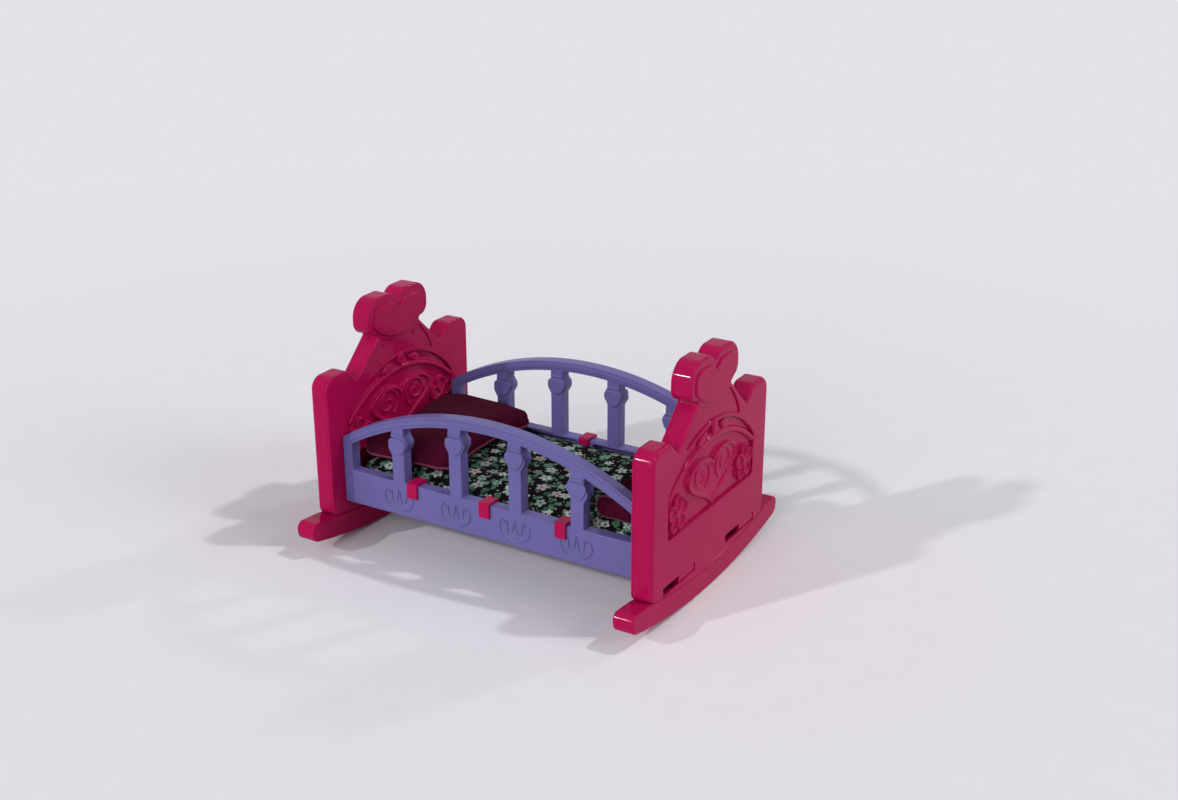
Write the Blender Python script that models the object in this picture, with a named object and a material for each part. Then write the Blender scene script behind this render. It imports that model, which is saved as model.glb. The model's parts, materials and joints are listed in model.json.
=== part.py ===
"""A doll's rocking cradle in moulded plastic, with its mattress, pillow and foot bolster.

The length runs along X, with the headboard at -X. Y runs across and Z is up.
The origin is on the floor, under the middle of the cradle. All sizes are in metres.
"""
import math

import bmesh
import bpy
from mathutils import Matrix, Vector

# The whole cradle
CLEAR_LENGTH = 0.400
PANEL_WIDTH = 0.280
PANEL_THICK = 0.025
SEAT_GAP = 0.0003
CUT_OVERRUN = 0.002

# Rockers
SOLE_RADIUS = 0.752
SOLE_FLAT = 0.018
ROCKER_DEPTH = 0.0272
ROCKER_OVERHANG = 0.041
ROCKER_END_LIFT = 0.0034
ROCKER_TOE_LIFT = 0.0033
ROCKER_TOE_ROUND = 0.010
ROCKER_TIP_ROUND = 0.006
ROCKER_EDGE = 0.0012

# Outline of an end panel, from the floor up
PANEL_FOOT_ROUND = 0.008
POST_TOP = 0.2115
POST_OUTER_ROUND = 0.016
POST_WIDTH = 0.040
POST_INNER_ROUND = 0.012
VALLEY_DEPTH = 0.0175
VALLEY_STEP = 0.017
VALLEY_ROUND = 0.005
NECK_OUT = 0.0375
NECK_RISE = 0.0435
NECK_ROUND = 0.003
LOBE_REACH = 0.058
LOBE_LIFT = 0.002
LOBE_HEIGHT = 0.0425
LOBE_BASE_ROUND = 0.014
LOBE_TOP_ROUND = 0.024
LOBE_SHOULDER = 0.012
LOBE_SHOULDER_ROUND = 0.018
CLEFT_DEPTH = 0.009

# Moulded shells of an end panel
SHELL_WALL = 0.0024
COVER_THICK = 0.0032
PANEL_EDGE = 0.0036
FIELD_DEPTH = 0.004
FIELD_BACKING = 0.0022

# Relief on both faces of an end panel
FIELD_SIDE_MARGIN = 0.036
FIELD_HEADROOM = 0.005
FIELD_ARCH_RISE = 0.049
FIELD_SIDE_HEIGHT = 0.051
FIELD_CORNER = 0.006
BEAD_DROP = 0.015
BEAD_SIDE_MARGIN = 0.009
BEAD_SPRING_DROP = 0.003
BEAD_WIDTH = 0.006
BEAD_HEIGHT = 0.0026
HEART_HEIGHT = 0.0625
HEART_LIFT = 0.0045
HEART_SIDE_GAP = 0.0025
ROSETTE_MARGIN = 0.0225
ROSETTE_LIFT = 0.0245
ROSETTE_RADIUS = 0.020
ROSETTE_HEIGHT = 0.0036
ROSETTE_PETALS = 5
BADGE_SINK = 0.001
BADGE_HEIGHT = 0.0016
BADGE_INSET = 0.011

# Slots for the rocker's tongues, at the foot of each outer shell
SLOT_MARGIN = 0.028
SLOT_LENGTH = 0.074
SLOT_SILL_WALL = 0.0017
SLOT_HEIGHT = 0.010
TONGUE_LENGTH = 0.036
TONGUE_THICK = 0.010
TONGUE_RISE = 0.0068
TONGUE_SHY = 0.001
SLIDE_GAP = 0.0006

# Side rails
RAIL_INSET = 0.0235
RAIL_THICK = 0.015
RAIL_BOTTOM = 0.052
SKIRT_HEIGHT = 0.042
STILE_WIDTH = 0.013
STILE_HEIGHT = 0.0255
ARCH_RISE = 0.0595
ARCH_BAND = 0.0125
SPINDLE_COUNT = 4
SPINDLE_WIDTH = 0.017
COLLAR_WIDTH = 0.027
COLLAR_HEIGHT = 0.026
COLLAR_DROP = 0.0045
RIB_WIDTH = 0.022
POCKET_DEPTH = 0.0125
POCKET_RIM = 0.003

# Tenons at the ends of each rail, and their sockets
TENON_REACH = 0.012
TENON_THICK = 0.008
TENON_SHOULDER = 0.006
UPPER_TENON_SHOULDER = 0.008
UPPER_TENON_HEAD = 0.0035
TENON_GAP = 0.0003

# Cross bars, whose ends hook over the rails
BAR_COUNT = 3
BAR_WIDTH = 0.014
BAR_THICK = 0.003
BAR_RISE = 0.0055
BAR_RIB_DEPTH = 0.006
HOOK_LEG = 0.0185
HOOK_BEND = 0.0022

# Bed base and bedding
BASE_THICK = 0.004
BASE_CORNER = 0.006
BASE_SIDE_GAP = 0.0005
BASE_END_GAP = 0.003
BED_SIDE_GAP = 0.003
BED_END_GAP = 0.006
MATTRESS_THICK = 0.034
MATTRESS_CROWN = 0.005
MATTRESS_DRAW = 0.004
MATTRESS_ROUND = 0.010
MATTRESS_SWELL_SHARE = 0.15
PILLOW_LENGTH = 0.128
PILLOW_SIDE_GAP = 0.0057
PILLOW_THICK = 0.034
PILLOW_CROWN = 0.012
PILLOW_DRAW = 0.008
PILLOW_ROUND = 0.014
BOLSTER_LENGTH = 0.062
BOLSTER_SIDE_GAP = 0.0057
BOLSTER_THICK = 0.032
BOLSTER_CROWN = 0.008
BOLSTER_DRAW = 0.004
BOLSTER_ROUND = 0.009
CUSHION_SWELL_SHARE = 0.4
CUSHION_LIFT = 0.0003

# Push pins that hold the two shells of an end together
PIN_SHANK = 0.003
PIN_LENGTH = 0.0135
PIN_HEAD = 0.006
PIN_HEAD_THICK = 0.0018
PIN_GAP = 0.0003
BOSS_WALL = 0.0022
PIN_LOW_OUT = 0.062
PIN_LOW_DROP = 0.029
PIN_HIGH_OUT = 0.030
PIN_HIGH_DROP = 0.0155

# Smoothness of the model
ARC_STEP = math.radians(30)
EDGE_TURN = math.radians(45)
SOLE_STEPS = 12
ARCH_STEPS = 20
GAP_HEAD_STEPS = 4
FIELD_STEPS = 12
HEART_STEPS = 22
PETAL_STEPS = 4
ROUND_SIDES = 10
MATTRESS_FACES = (12, 8)
PILLOW_FACES = (10, 12)
BOLSTER_FACES = (6, 12)

PINK = (0.72, 0.035, 0.155)
VIOLET = (0.19, 0.17, 0.52)
MAROON = (0.13, 0.012, 0.035)
NIGHT_BLUE = (0.018, 0.018, 0.03)

# Places and heights that follow from the sizes above
HALF_WIDTH = PANEL_WIDTH / 2
HALF_LENGTH = CLEAR_LENGTH / 2
VALLEY_UP = POST_TOP - VALLEY_DEPTH
NECK_UP = VALLEY_UP + NECK_RISE
LOBE_BASE = NECK_UP + LOBE_LIFT
LOBE_TOP = LOBE_BASE + LOBE_HEIGHT
CLEFT_UP = LOBE_TOP - CLEFT_DEPTH
FIELD_HALF = HALF_WIDTH - FIELD_SIDE_MARGIN
FIELD_APEX = VALLEY_UP + FIELD_HEADROOM
FIELD_SPRING = FIELD_APEX - FIELD_ARCH_RISE
FIELD_SILL = FIELD_SPRING - FIELD_SIDE_HEIGHT
ROSETTE_OUT = FIELD_HALF - ROSETTE_MARGIN
SLOT_FAR = HALF_WIDTH - SLOT_MARGIN
SLOT_NEAR = SLOT_FAR - SLOT_LENGTH
SKIRT_TOP = RAIL_BOTTOM + SKIRT_HEIGHT
ARCH_SPRING = SKIRT_TOP + STILE_HEIGHT
ARCH_CROWN = ARCH_SPRING + ARCH_RISE
RAIL_OUT = HALF_WIDTH - RAIL_INSET
RAIL_MIDDLE = RAIL_OUT - RAIL_THICK / 2
RAIL_IN = RAIL_OUT - RAIL_THICK
STILE_IN = HALF_LENGTH - STILE_WIDTH
BAR_BOTTOM = RAIL_BOTTOM + BAR_RISE
BASE_BOTTOM = BAR_BOTTOM + BAR_THICK + SEAT_GAP
BASE_HALF_WIDTH = RAIL_IN - SEAT_GAP - BAR_THICK - BASE_SIDE_GAP
BED_LENGTH = CLEAR_LENGTH - 2 * BED_END_GAP
BED_WIDTH = 2 * (BASE_HALF_WIDTH - BED_SIDE_GAP)
MATTRESS_FLOOR = BASE_BOTTOM + BASE_THICK + CUSHION_LIFT


def clear_scene():
    """Start from an empty scene."""
    for thing in list(bpy.data.objects):
        bpy.data.objects.remove(thing, do_unlink=True)


def finish(name, colour, roughness, metallic=0.0):
    """A plain moulded, woven or metal finish."""
    made = bpy.data.materials.new(name)
    made.use_nodes = True
    shader = made.node_tree.nodes["Principled BSDF"]
    shader.inputs["Base Color"].default_value = (*colour, 1)
    shader.inputs["Roughness"].default_value = roughness
    shader.inputs["Metallic"].default_value = metallic
    return made


def stand(name, mesh, material, place=(0, 0, 0), turn=0.0):
    """Put a mesh in the scene as a named piece."""
    piece = bpy.data.objects.new(name, mesh)
    bpy.context.scene.collection.objects.link(piece)
    piece.location = place
    piece.rotation_euler = (0, 0, turn)
    if not mesh.materials:
        mesh.materials.append(material)
    return piece


def mesh_of(shape, name):
    """Close a bmesh into a mesh whose faces point outwards."""
    bmesh.ops.recalc_face_normals(shape, faces=shape.faces)
    mesh = bpy.data.meshes.new(name)
    shape.to_mesh(mesh)
    shape.free()
    return mesh


def arc(centre, radius, start, end, steps):
    """Points along an arc, both ends included."""
    return [
        (
            centre[0] + radius * math.cos(start + (end - start) * k / steps),
            centre[1] + radius * math.sin(start + (end - start) * k / steps),
        )
        for k in range(steps + 1)
    ]


def rounded(corners):
    """An open run of points whose corners (a, b, radius) are rounded off; the ends stay."""
    points = [corners[0][:2]]
    for before, here, after in zip(corners, corners[1:], corners[2:]):
        at = Vector(here[:2])
        back = (Vector(before[:2]) - at).normalized()
        ahead = (Vector(after[:2]) - at).normalized()
        radius = here[2]
        if not radius:
            points.append(here[:2])
            continue
        half = back.angle(ahead) / 2
        centre = at + (back + ahead).normalized() * radius / math.sin(half)
        first = at + back * radius / math.tan(half) - centre
        turn = math.pi - 2 * half
        steps = max(1, round(turn / ARC_STEP))
        side = -1 if back.cross(ahead) > 0 else 1
        for k in range(steps + 1):
            angle = side * turn * k / steps
            spoke = Matrix.Rotation(angle, 2) @ first
            points.append(tuple(centre + spoke))
    points.append(corners[-1][:2])
    return points


def both_halves(half):
    """A closed outline from its right half, which runs from the middle at the bottom up."""
    left = [(-a, b) for a, b in reversed(half) if abs(a) > SEAT_GAP / 2]
    return half + left


def inset(outline, distance):
    """The outline (counter-clockwise) moved inwards, point by point."""
    moved = []
    count = len(outline)
    for k, point in enumerate(outline):
        at = Vector(point)
        into = (at - Vector(outline[k - 1])).normalized()
        out = (Vector(outline[(k + 1) % count]) - at).normalized()
        normals = [Vector((-run.y, run.x)) for run in (into, out)]
        middle = (normals[0] + normals[1]).normalized()
        moved.append(tuple(at + middle * distance / middle.dot(normals[0])))
    return moved


def eased(outline, face, side, edge, depth):
    """Rings that round the edge of an outline over into a face, on one side of X."""
    draw = edge * (1 - math.cos(EDGE_TURN))
    drop = depth * (1 - math.sin(EDGE_TURN))
    return [
        (outline, face - side * depth),
        (inset(outline, draw), face - side * drop),
        (inset(outline, edge), face),
    ]


def loop(shape, outline, level, axis):
    """Lay an outline on the plane across an axis: 0 takes (y, z) points and 1 takes (x, z)."""
    if axis == 0:
        return [shape.verts.new((level, a, b)) for a, b in outline]
    return [shape.verts.new((a, level, b)) for a, b in outline]


def bridge(shape, first, second):
    """Join two rings of as many points with a band of faces."""
    count = len(first)
    for k in range(count):
        after = (k + 1) % count
        shape.faces.new((first[k], first[after], second[after], second[k]))


def stack(rings, name, axis=0):
    """A closed solid from rings (outline, level) of as many points, capped at both ends."""
    shape = bmesh.new()
    loops = [loop(shape, outline, level, axis) for outline, level in rings]
    for first, second in zip(loops, loops[1:]):
        bridge(shape, first, second)
    shape.faces.new(loops[0])
    shape.faces.new(loops[-1])
    return mesh_of(shape, name)


def prism(outline, low, high, name, axis=0):
    """An outline drawn out along an axis."""
    return stack([(outline, low), (outline, high)], name, axis)


def block(low, high, name):
    """A box from its lowest corner to its highest."""
    outline = [(low[1], low[2]), (high[1], low[2]), (high[1], high[2]), (low[1], high[2])]
    return prism(outline, low[0], high[0], name)


def rod(centre, radius, low, high, name):
    """A round rod along X."""
    return prism(arc(centre, radius, 0, math.tau, ROUND_SIDES)[:-1], low, high, name)


def combine(mesh, tools, operation):
    """Join tool meshes to a mesh, or cut them from it."""
    pile = bmesh.new()
    for tool in tools:
        pile.from_mesh(tool)
        bpy.data.meshes.remove(tool)
    cutter_mesh = bpy.data.meshes.new("tool")
    pile.to_mesh(cutter_mesh)
    pile.free()
    cutter = bpy.data.objects.new("tool", cutter_mesh)
    body = bpy.data.objects.new("body", mesh)
    for thing in (cutter, body):
        bpy.context.scene.collection.objects.link(thing)
    step = body.modifiers.new("combine", "BOOLEAN")
    step.operation = operation
    step.object = cutter
    step.solver = "EXACT"
    graph = bpy.context.evaluated_depsgraph_get()
    made = bpy.data.meshes.new_from_object(body.evaluated_get(graph))
    name = mesh.name
    for thing in (body, cutter):
        bpy.data.objects.remove(thing)
    bpy.data.meshes.remove(cutter_mesh)
    bpy.data.meshes.remove(mesh)
    made.name = name
    return made


def sole_height(across):
    """Height of the curved sole above the floor, at a place across the cradle."""
    drop = math.sqrt(SOLE_RADIUS**2 - (SOLE_FLAT / 2) ** 2)
    if across < SOLE_FLAT / 2:
        return 0.0
    return drop - math.sqrt(SOLE_RADIUS**2 - across**2)


def joint_height(across):
    """Height of a rocker's top, where the end panel stands on it."""
    return ROCKER_DEPTH + sole_height(across)


def panel_outline():
    """Outline (y, z) of an end panel, with a heart-topped crown between two posts."""
    foot = HALF_WIDTH - PANEL_FOOT_ROUND
    half = []
    for k in range(SOLE_STEPS // 2):
        across = foot * k / (SOLE_STEPS // 2)
        half.append((across, joint_height(across) + SEAT_GAP))
    heel = foot - PANEL_FOOT_ROUND
    post_in = HALF_WIDTH - POST_WIDTH
    corners = [
        (heel, joint_height(heel) + SEAT_GAP, 0),
        (HALF_WIDTH, joint_height(HALF_WIDTH) + SEAT_GAP, PANEL_FOOT_ROUND),
        (HALF_WIDTH, POST_TOP, POST_OUTER_ROUND),
        (post_in, POST_TOP, POST_INNER_ROUND),
        (post_in - VALLEY_STEP, VALLEY_UP, VALLEY_ROUND),
        (NECK_OUT, NECK_UP, NECK_ROUND),
        (LOBE_REACH, LOBE_BASE, LOBE_BASE_ROUND),
        (LOBE_REACH, LOBE_TOP, LOBE_TOP_ROUND),
        (LOBE_SHOULDER, LOBE_TOP, LOBE_SHOULDER_ROUND),
        (0, CLEFT_UP, 0),
    ]
    return both_halves(half + rounded(corners))


def arch_of(half_span, spring, apex):
    """Centre height, radius and first angle of an arch over a span."""
    rise = apex - spring
    radius = (half_span**2 + rise**2) / (2 * rise)
    middle = apex - radius
    return middle, radius, math.atan2(spring - middle, half_span)


def field_outline(spread=0.0):
    """Outline (y, z) of the sunk field: a sill, two upright sides and an arched head."""
    side = FIELD_HALF + spread
    sill = FIELD_SILL - spread
    half = [(0, sill)] + rounded([
        (side / 2, sill, 0),
        (side, sill, FIELD_CORNER),
        (side, FIELD_SPRING, 0),
    ])
    middle, radius, start = arch_of(side, FIELD_SPRING, FIELD_APEX + spread)
    half += arc((0, middle), radius, start, math.pi / 2, FIELD_STEPS // 2)[1:]
    return both_halves(half)


def heart_outline():
    """Outline (y, z) of the heart, from its tip round to its cleft."""
    half = []
    steps = HEART_STEPS // 2
    half_wide = ROSETTE_OUT - ROSETTE_RADIUS - HEART_SIDE_GAP
    wave_shares = (13, -5, -2, -1)
    tip_share = 17.0
    tall_share = 28.9
    for k in range(steps + 1):
        turn = math.pi * (1 - k / steps)
        up = sum(share * math.cos((wave + 1) * turn) for wave, share in enumerate(wave_shares))
        half.append((
            half_wide * math.sin(turn) ** 3,
            FIELD_SILL + HEART_LIFT + HEART_HEIGHT * (up + tip_share) / tall_share,
        ))
    return both_halves(half)


def shrunk(outline, centre, share):
    """An outline drawn towards a centre."""
    return [
        (centre[0] + (a - centre[0]) * share, centre[1] + (b - centre[1]) * share)
        for a, b in outline
    ]


def dome(outline, centre, floor, side, height, name):
    """A low dome on an outline, which rises from a floor towards one side of X."""
    dome_shares = ((1.0, 0.0), (0.94, 0.6), (0.7, 0.97))
    rings = [(outline, floor - side * BADGE_SINK)]
    for reach, rise in dome_shares:
        rings.append((shrunk(outline, centre, reach), floor + side * height * rise))
    return stack(rings, name)


def rosette_outline(centre):
    """Outline (y, z) of a flower with round petals."""
    points = []
    count = ROSETTE_PETALS * PETAL_STEPS
    petal_share = 0.3
    for k in range(count):
        turn = math.tau * k / count
        swell = abs(math.sin(turn * ROSETTE_PETALS / 2))
        radius = ROSETTE_RADIUS * (1 - petal_share + petal_share * swell)
        points.append((centre[0] + radius * math.cos(turn), centre[1] + radius * math.sin(turn)))
    return points


def arch_bead(floor, side):
    """A half-round bead that follows the head of the field."""
    middle, radius, start = arch_of(
        FIELD_HALF - BEAD_SIDE_MARGIN, FIELD_SPRING - BEAD_SPRING_DROP, FIELD_APEX - BEAD_DROP
    )
    shape = bmesh.new()
    sections = []
    half = BEAD_WIDTH / 2
    bead_shares = ((-1, 0), (-0.7, 0.7), (0, 1), (0.7, 0.7), (1, 0))
    for k in range(FIELD_STEPS + 1):
        turn = start + (math.pi - 2 * start) * k / FIELD_STEPS
        ring = []
        for out, up in bead_shares:
            reach = radius + half * out
            level = floor + side * (BEAD_HEIGHT * up if up else -BADGE_SINK)
            across = reach * math.cos(turn)
            ring.append(shape.verts.new((level, across, middle + reach * math.sin(turn))))
        sections.append(ring)
    for first, second in zip(sections, sections[1:]):
        bridge(shape, first, second)
    shape.faces.new(sections[0])
    shape.faces.new(sections[-1])
    return mesh_of(shape, "bead")


def crown_badge(face, side):
    """A raised heart that follows the crown's two lobes."""
    inner = BADGE_INSET
    corners = [
        (0, NECK_UP - inner, 0),
        (LOBE_REACH - inner, LOBE_BASE + inner / 2, LOBE_BASE_ROUND),
        (LOBE_REACH - inner, LOBE_TOP - inner, LOBE_TOP_ROUND - inner),
        (LOBE_SHOULDER, LOBE_TOP - inner, LOBE_SHOULDER_ROUND),
        (0, CLEFT_UP - inner, 0),
    ]
    outline = both_halves(rounded(corners))
    rings = [
        (outline, face - side * BADGE_SINK),
        (outline, face + side * BADGE_HEIGHT / 2),
        (inset(outline, BADGE_HEIGHT), face + side * BADGE_HEIGHT),
    ]
    return stack(rings, "crown_badge")


def relief(face, side):
    """The heart, flowers and bead in the sunk field, and the pad on the crown."""
    floor = face - side * FIELD_DEPTH
    heart_centre = (0, FIELD_SILL + HEART_LIFT + HEART_HEIGHT / 2)
    pieces = [dome(heart_outline(), heart_centre, floor, side, FIELD_DEPTH, "heart")]
    for hand in (-1, 1):
        centre = (hand * ROSETTE_OUT, FIELD_SILL + ROSETTE_LIFT)
        pieces.append(dome(rosette_outline(centre), centre, floor, side, ROSETTE_HEIGHT, "rosette"))
    pieces.append(arch_bead(floor, side))
    return pieces


def pin_places():
    """Places (y, z) of the four push pins of an end."""
    rows = ((PIN_LOW_OUT, FIELD_SILL - PIN_LOW_DROP), (PIN_HIGH_OUT, NECK_UP - PIN_HIGH_DROP))
    return [(hand * out, up) for out, up in rows for hand in (-1, 1)]


def slot_sill():
    """Height of the sill of the tongues' slots, above the rocker's dished top."""
    return joint_height(SLOT_FAR) + SLOT_SILL_WALL


def levels():
    """Places along X of the faces of the foot end, from the bed outwards."""
    return HALF_LENGTH, HALF_LENGTH + COVER_THICK, HALF_LENGTH + PANEL_THICK


def outer_shell_mesh():
    """The deep shell of an end: its outer face, its side walls and the pins' bosses."""
    inner, parting, face = levels()
    seam = parting + SEAT_GAP
    outline = panel_outline()
    hollow = inset(outline, SHELL_WALL)
    back = face - SHELL_WALL
    shape = bmesh.new()
    rings = [
        (hollow, back),
        (hollow, seam),
        (outline, seam),
        *eased(outline, face, 1, PANEL_EDGE, PANEL_EDGE),
    ]
    loops = [loop(shape, ring, level, 0) for ring, level in rings]
    for first, second in zip(loops, loops[1:]):
        bridge(shape, first, second)
    shape.faces.new(loops[0])
    shape.faces.new(loops[-1])
    mesh = mesh_of(shape, "outer_shell")

    floor = face - FIELD_DEPTH
    adders = [prism(field_outline(SHELL_WALL), floor - FIELD_BACKING, back + SHELL_WALL / 2, "backing")]
    boss_end = parting + PIN_GAP
    for place in pin_places():
        adders.append(rod(place, PIN_SHANK / 2 + BOSS_WALL, boss_end, back + SHELL_WALL / 2, "boss"))
    mesh = combine(mesh, adders, "UNION")

    cutters = [prism(field_outline(), floor, face + CUT_OVERRUN, "field")]
    foot_slots = []
    sill = slot_sill()
    for hand in (-1, 1):
        near, far = sorted((hand * SLOT_NEAR, hand * SLOT_FAR))
        cutters.append(block(
            (back - CUT_OVERRUN, near, sill),
            (face + CUT_OVERRUN, far, sill + SLOT_HEIGHT),
            "window",
        ))
        foot_slots.append(block(
            (back - SLIDE_GAP - TONGUE_THICK - SLIDE_GAP, near, ROCKER_DEPTH - CUT_OVERRUN),
            (back, far, sill + SLOT_HEIGHT),
            "foot_slot",
        ))
    pin_end = inner + PIN_LENGTH
    for place in pin_places():
        cutters.append(rod(place, PIN_SHANK / 2 + PIN_GAP, parting, pin_end + PIN_GAP, "pilot"))
    mesh = combine(mesh, cutters, "DIFFERENCE")
    mesh = combine(mesh, foot_slots, "DIFFERENCE")
    return combine(mesh, relief(face, 1) + [crown_badge(face, 1)], "UNION")


def tenon_spans():
    """Heights of the lower and upper tenon."""
    return (
        (RAIL_BOTTOM + TENON_SHOULDER, SKIRT_TOP - TENON_SHOULDER),
        (SKIRT_TOP + UPPER_TENON_SHOULDER, ARCH_SPRING - UPPER_TENON_HEAD),
    )


def inner_shell_mesh():
    """The flat shell of an end, which faces the bed and holds the rails' sockets."""
    inner, parting, _ = levels()
    outline = panel_outline()
    depth = COVER_THICK - SHELL_WALL / 2
    mesh = stack([(outline, parting), *eased(outline, inner, -1, PANEL_EDGE, depth)], "inner_shell")
    floor = inner + FIELD_DEPTH
    backing = prism(
        field_outline(SHELL_WALL), parting - SHELL_WALL / 2, floor + FIELD_BACKING, "backing"
    )
    mesh = combine(mesh, [backing], "UNION")
    cutters = [prism(field_outline(), inner - CUT_OVERRUN, floor, "field")]
    for hand in (-1, 1):
        middle = hand * RAIL_MIDDLE
        half = TENON_THICK / 2 + TENON_GAP
        for low, high in tenon_spans():
            cutters.append(block(
                (inner - CUT_OVERRUN, middle - half, low - TENON_GAP),
                (floor + FIELD_BACKING + CUT_OVERRUN, middle + half, high + TENON_GAP),
                "socket",
            ))
    seats = []
    for place in pin_places():
        cutters.append(rod(
            place,
            PIN_SHANK / 2 + PIN_GAP,
            inner - CUT_OVERRUN,
            parting + CUT_OVERRUN,
            "hole",
        ))
        seats.append(rod(
            place,
            PIN_HEAD / 2 + PIN_GAP,
            inner - CUT_OVERRUN,
            inner + PIN_HEAD_THICK,
            "head_seat",
        ))
    mesh = combine(mesh, cutters, "DIFFERENCE")
    mesh = combine(mesh, seats, "DIFFERENCE")
    return combine(mesh, relief(inner, -1), "UNION")


def rocker_outline():
    """Outline (y, z) of a rocker: a round sole, blunt upturned ends and a dished top."""
    half = [(0, 0), (SOLE_FLAT / 2, 0)]
    reach = HALF_WIDTH + ROCKER_OVERHANG
    heel = reach - ROCKER_TOE_ROUND - ROCKER_TIP_ROUND
    for k in range(1, SOLE_STEPS // 2 + 1):
        across = SOLE_FLAT / 2 + (heel - SOLE_FLAT / 2) * k / (SOLE_STEPS // 2)
        half.append((across, sole_height(across)))
    toe_height = sole_height(heel) + ROCKER_TOE_LIFT
    end_height = joint_height(HALF_WIDTH) + ROCKER_END_LIFT
    corners = [
        half.pop() + (0,),
        (reach - ROCKER_TIP_ROUND / 2, toe_height, ROCKER_TOE_ROUND),
        (reach, end_height, ROCKER_TIP_ROUND),
        (HALF_WIDTH, joint_height(HALF_WIDTH), 0),
    ]
    half += rounded(corners)
    steps = SOLE_STEPS // 2
    for k in range(1, steps + 1):
        across = HALF_WIDTH * (1 - k / steps)
        half.append((across, joint_height(across)))
    return both_halves(half)


def rocker_mesh():
    """A rocker with two hooked tongues that stand up into the end panel."""
    inner, parting, face = levels()
    outline = rocker_outline()
    edge = ROCKER_EDGE
    mesh = stack(
        [
            (inset(outline, edge), inner),
            (outline, inner + edge),
            (outline, face - edge),
            (inset(outline, edge), face),
        ],
        "rocker",
    )
    back = face - SHELL_WALL
    sill = slot_sill()
    head = sill + SLOT_HEIGHT
    adders = []
    for near in (-SLOT_NEAR - TONGUE_LENGTH, SLOT_FAR - TONGUE_LENGTH):
        low = near - SLIDE_GAP
        high = near + TONGUE_LENGTH - SLIDE_GAP
        adders.append(block(
            (back - SLIDE_GAP - TONGUE_THICK, low, ROCKER_DEPTH - CUT_OVERRUN),
            (back - SLIDE_GAP, high, head + TONGUE_RISE),
            "tongue",
        ))
        adders.append(block(
            (back - SLIDE_GAP - TONGUE_THICK / 2, low, sill + SLIDE_GAP),
            (face - TONGUE_SHY, high, head - SLIDE_GAP),
            "hook",
        ))
    for adder in adders:
        mesh = combine(mesh, [adder], "UNION")
    return mesh


def arch_under(along):
    """Height of the arched underside of a rail's top bar, at a place along the rail."""
    middle, radius, _ = arch_of(HALF_LENGTH, ARCH_SPRING, ARCH_CROWN)
    return middle + math.sqrt(radius**2 - along**2)


def rail_outline():
    """Outline (x, z) of a side rail without its gaps."""
    half_length = HALF_LENGTH - SEAT_GAP
    middle, radius, _ = arch_of(HALF_LENGTH, ARCH_SPRING, ARCH_CROWN)
    outer = radius + ARCH_BAND
    start = math.acos(half_length / outer)
    half = [(0, RAIL_BOTTOM), (half_length, RAIL_BOTTOM)]
    half += arc((0, middle), outer, start, math.pi / 2, ARCH_STEPS // 2)
    return both_halves(half)


def shared_out(count):
    """Places along X that share the clear length out evenly."""
    return [CLEAR_LENGTH * (k + 1) / (count + 1) - HALF_LENGTH for k in range(count)]


def spindle_places():
    """Places along X of the spindles' middles."""
    return shared_out(SPINDLE_COUNT)


def spindle_side(middle, hand):
    """One side of a spindle, from the skirt up: a straight shaft and a bulb-shaped collar."""
    top = arch_under(middle + hand * SPINDLE_WIDTH / 2)
    slim = SPINDLE_WIDTH / 2
    wide = COLLAR_WIDTH / 2
    collar_top = top - COLLAR_DROP
    collar_shares = (
        (0.0, 1.0), (0.18, 0.8), (0.3, 0.35), (0.45, 0.0), (0.68, 0.15), (0.86, 0.65), (1.0, 1.0),
    )
    points = [(middle + hand * slim, SKIRT_TOP)]
    for drop, draw in reversed(collar_shares):
        points.append((
            middle + hand * (wide - (wide - slim) * draw),
            collar_top - COLLAR_HEIGHT * drop,
        ))
    return points


def rail_gaps():
    """Outlines (x, z) of the gaps between the stiles and the spindles."""
    places = spindle_places()
    lefts = [[(-STILE_IN, SKIRT_TOP)]] + [spindle_side(place, 1) for place in places]
    rights = [spindle_side(place, -1) for place in places] + [[(STILE_IN, SKIRT_TOP)]]
    gaps = []
    for left, right in zip(lefts, rights):
        west = left[-1][0]
        east = right[-1][0]
        head = []
        for k in range(GAP_HEAD_STEPS + 1):
            along = east + (west - east) * k / GAP_HEAD_STEPS
            head.append((along, arch_under(along)))
        gaps.append(right + head + list(reversed(left)))
    return gaps


def rail_mesh():
    """A side rail: skirt, stiles, arched top bar, spindles, tenons and a ribbed back."""
    half_thick = RAIL_THICK / 2
    mesh = prism(rail_outline(), -half_thick, half_thick, "rail", axis=1)
    inner_side = half_thick
    cutters = [
        prism(gap, -half_thick - CUT_OVERRUN, half_thick + CUT_OVERRUN, "gap", axis=1)
        for gap in rail_gaps()
    ]
    ribs = bar_places()
    starts = [-STILE_IN] + [rib + RIB_WIDTH / 2 for rib in ribs]
    ends = [rib - RIB_WIDTH / 2 for rib in ribs] + [STILE_IN]
    for start, end in zip(starts, ends):
        cutters.append(block(
            (start, inner_side - POCKET_DEPTH, RAIL_BOTTOM + POCKET_RIM),
            (end, inner_side + CUT_OVERRUN, SKIRT_TOP - POCKET_RIM),
            "pocket",
        ))
    mesh = combine(mesh, cutters, "DIFFERENCE")
    adders = []
    for hand in (-1, 1):
        for low, high in tenon_spans():
            root = HALF_LENGTH - STILE_WIDTH / 2
            near, far = sorted((hand * root, hand * (HALF_LENGTH + TENON_REACH)))
            adders.append(block(
                (near, -TENON_THICK / 2, low),
                (far, TENON_THICK / 2, high),
                "tenon",
            ))
    return combine(mesh, adders, "UNION")


def bar_places():
    """Places along X of the cross bars' middles."""
    return shared_out(BAR_COUNT)


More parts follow.
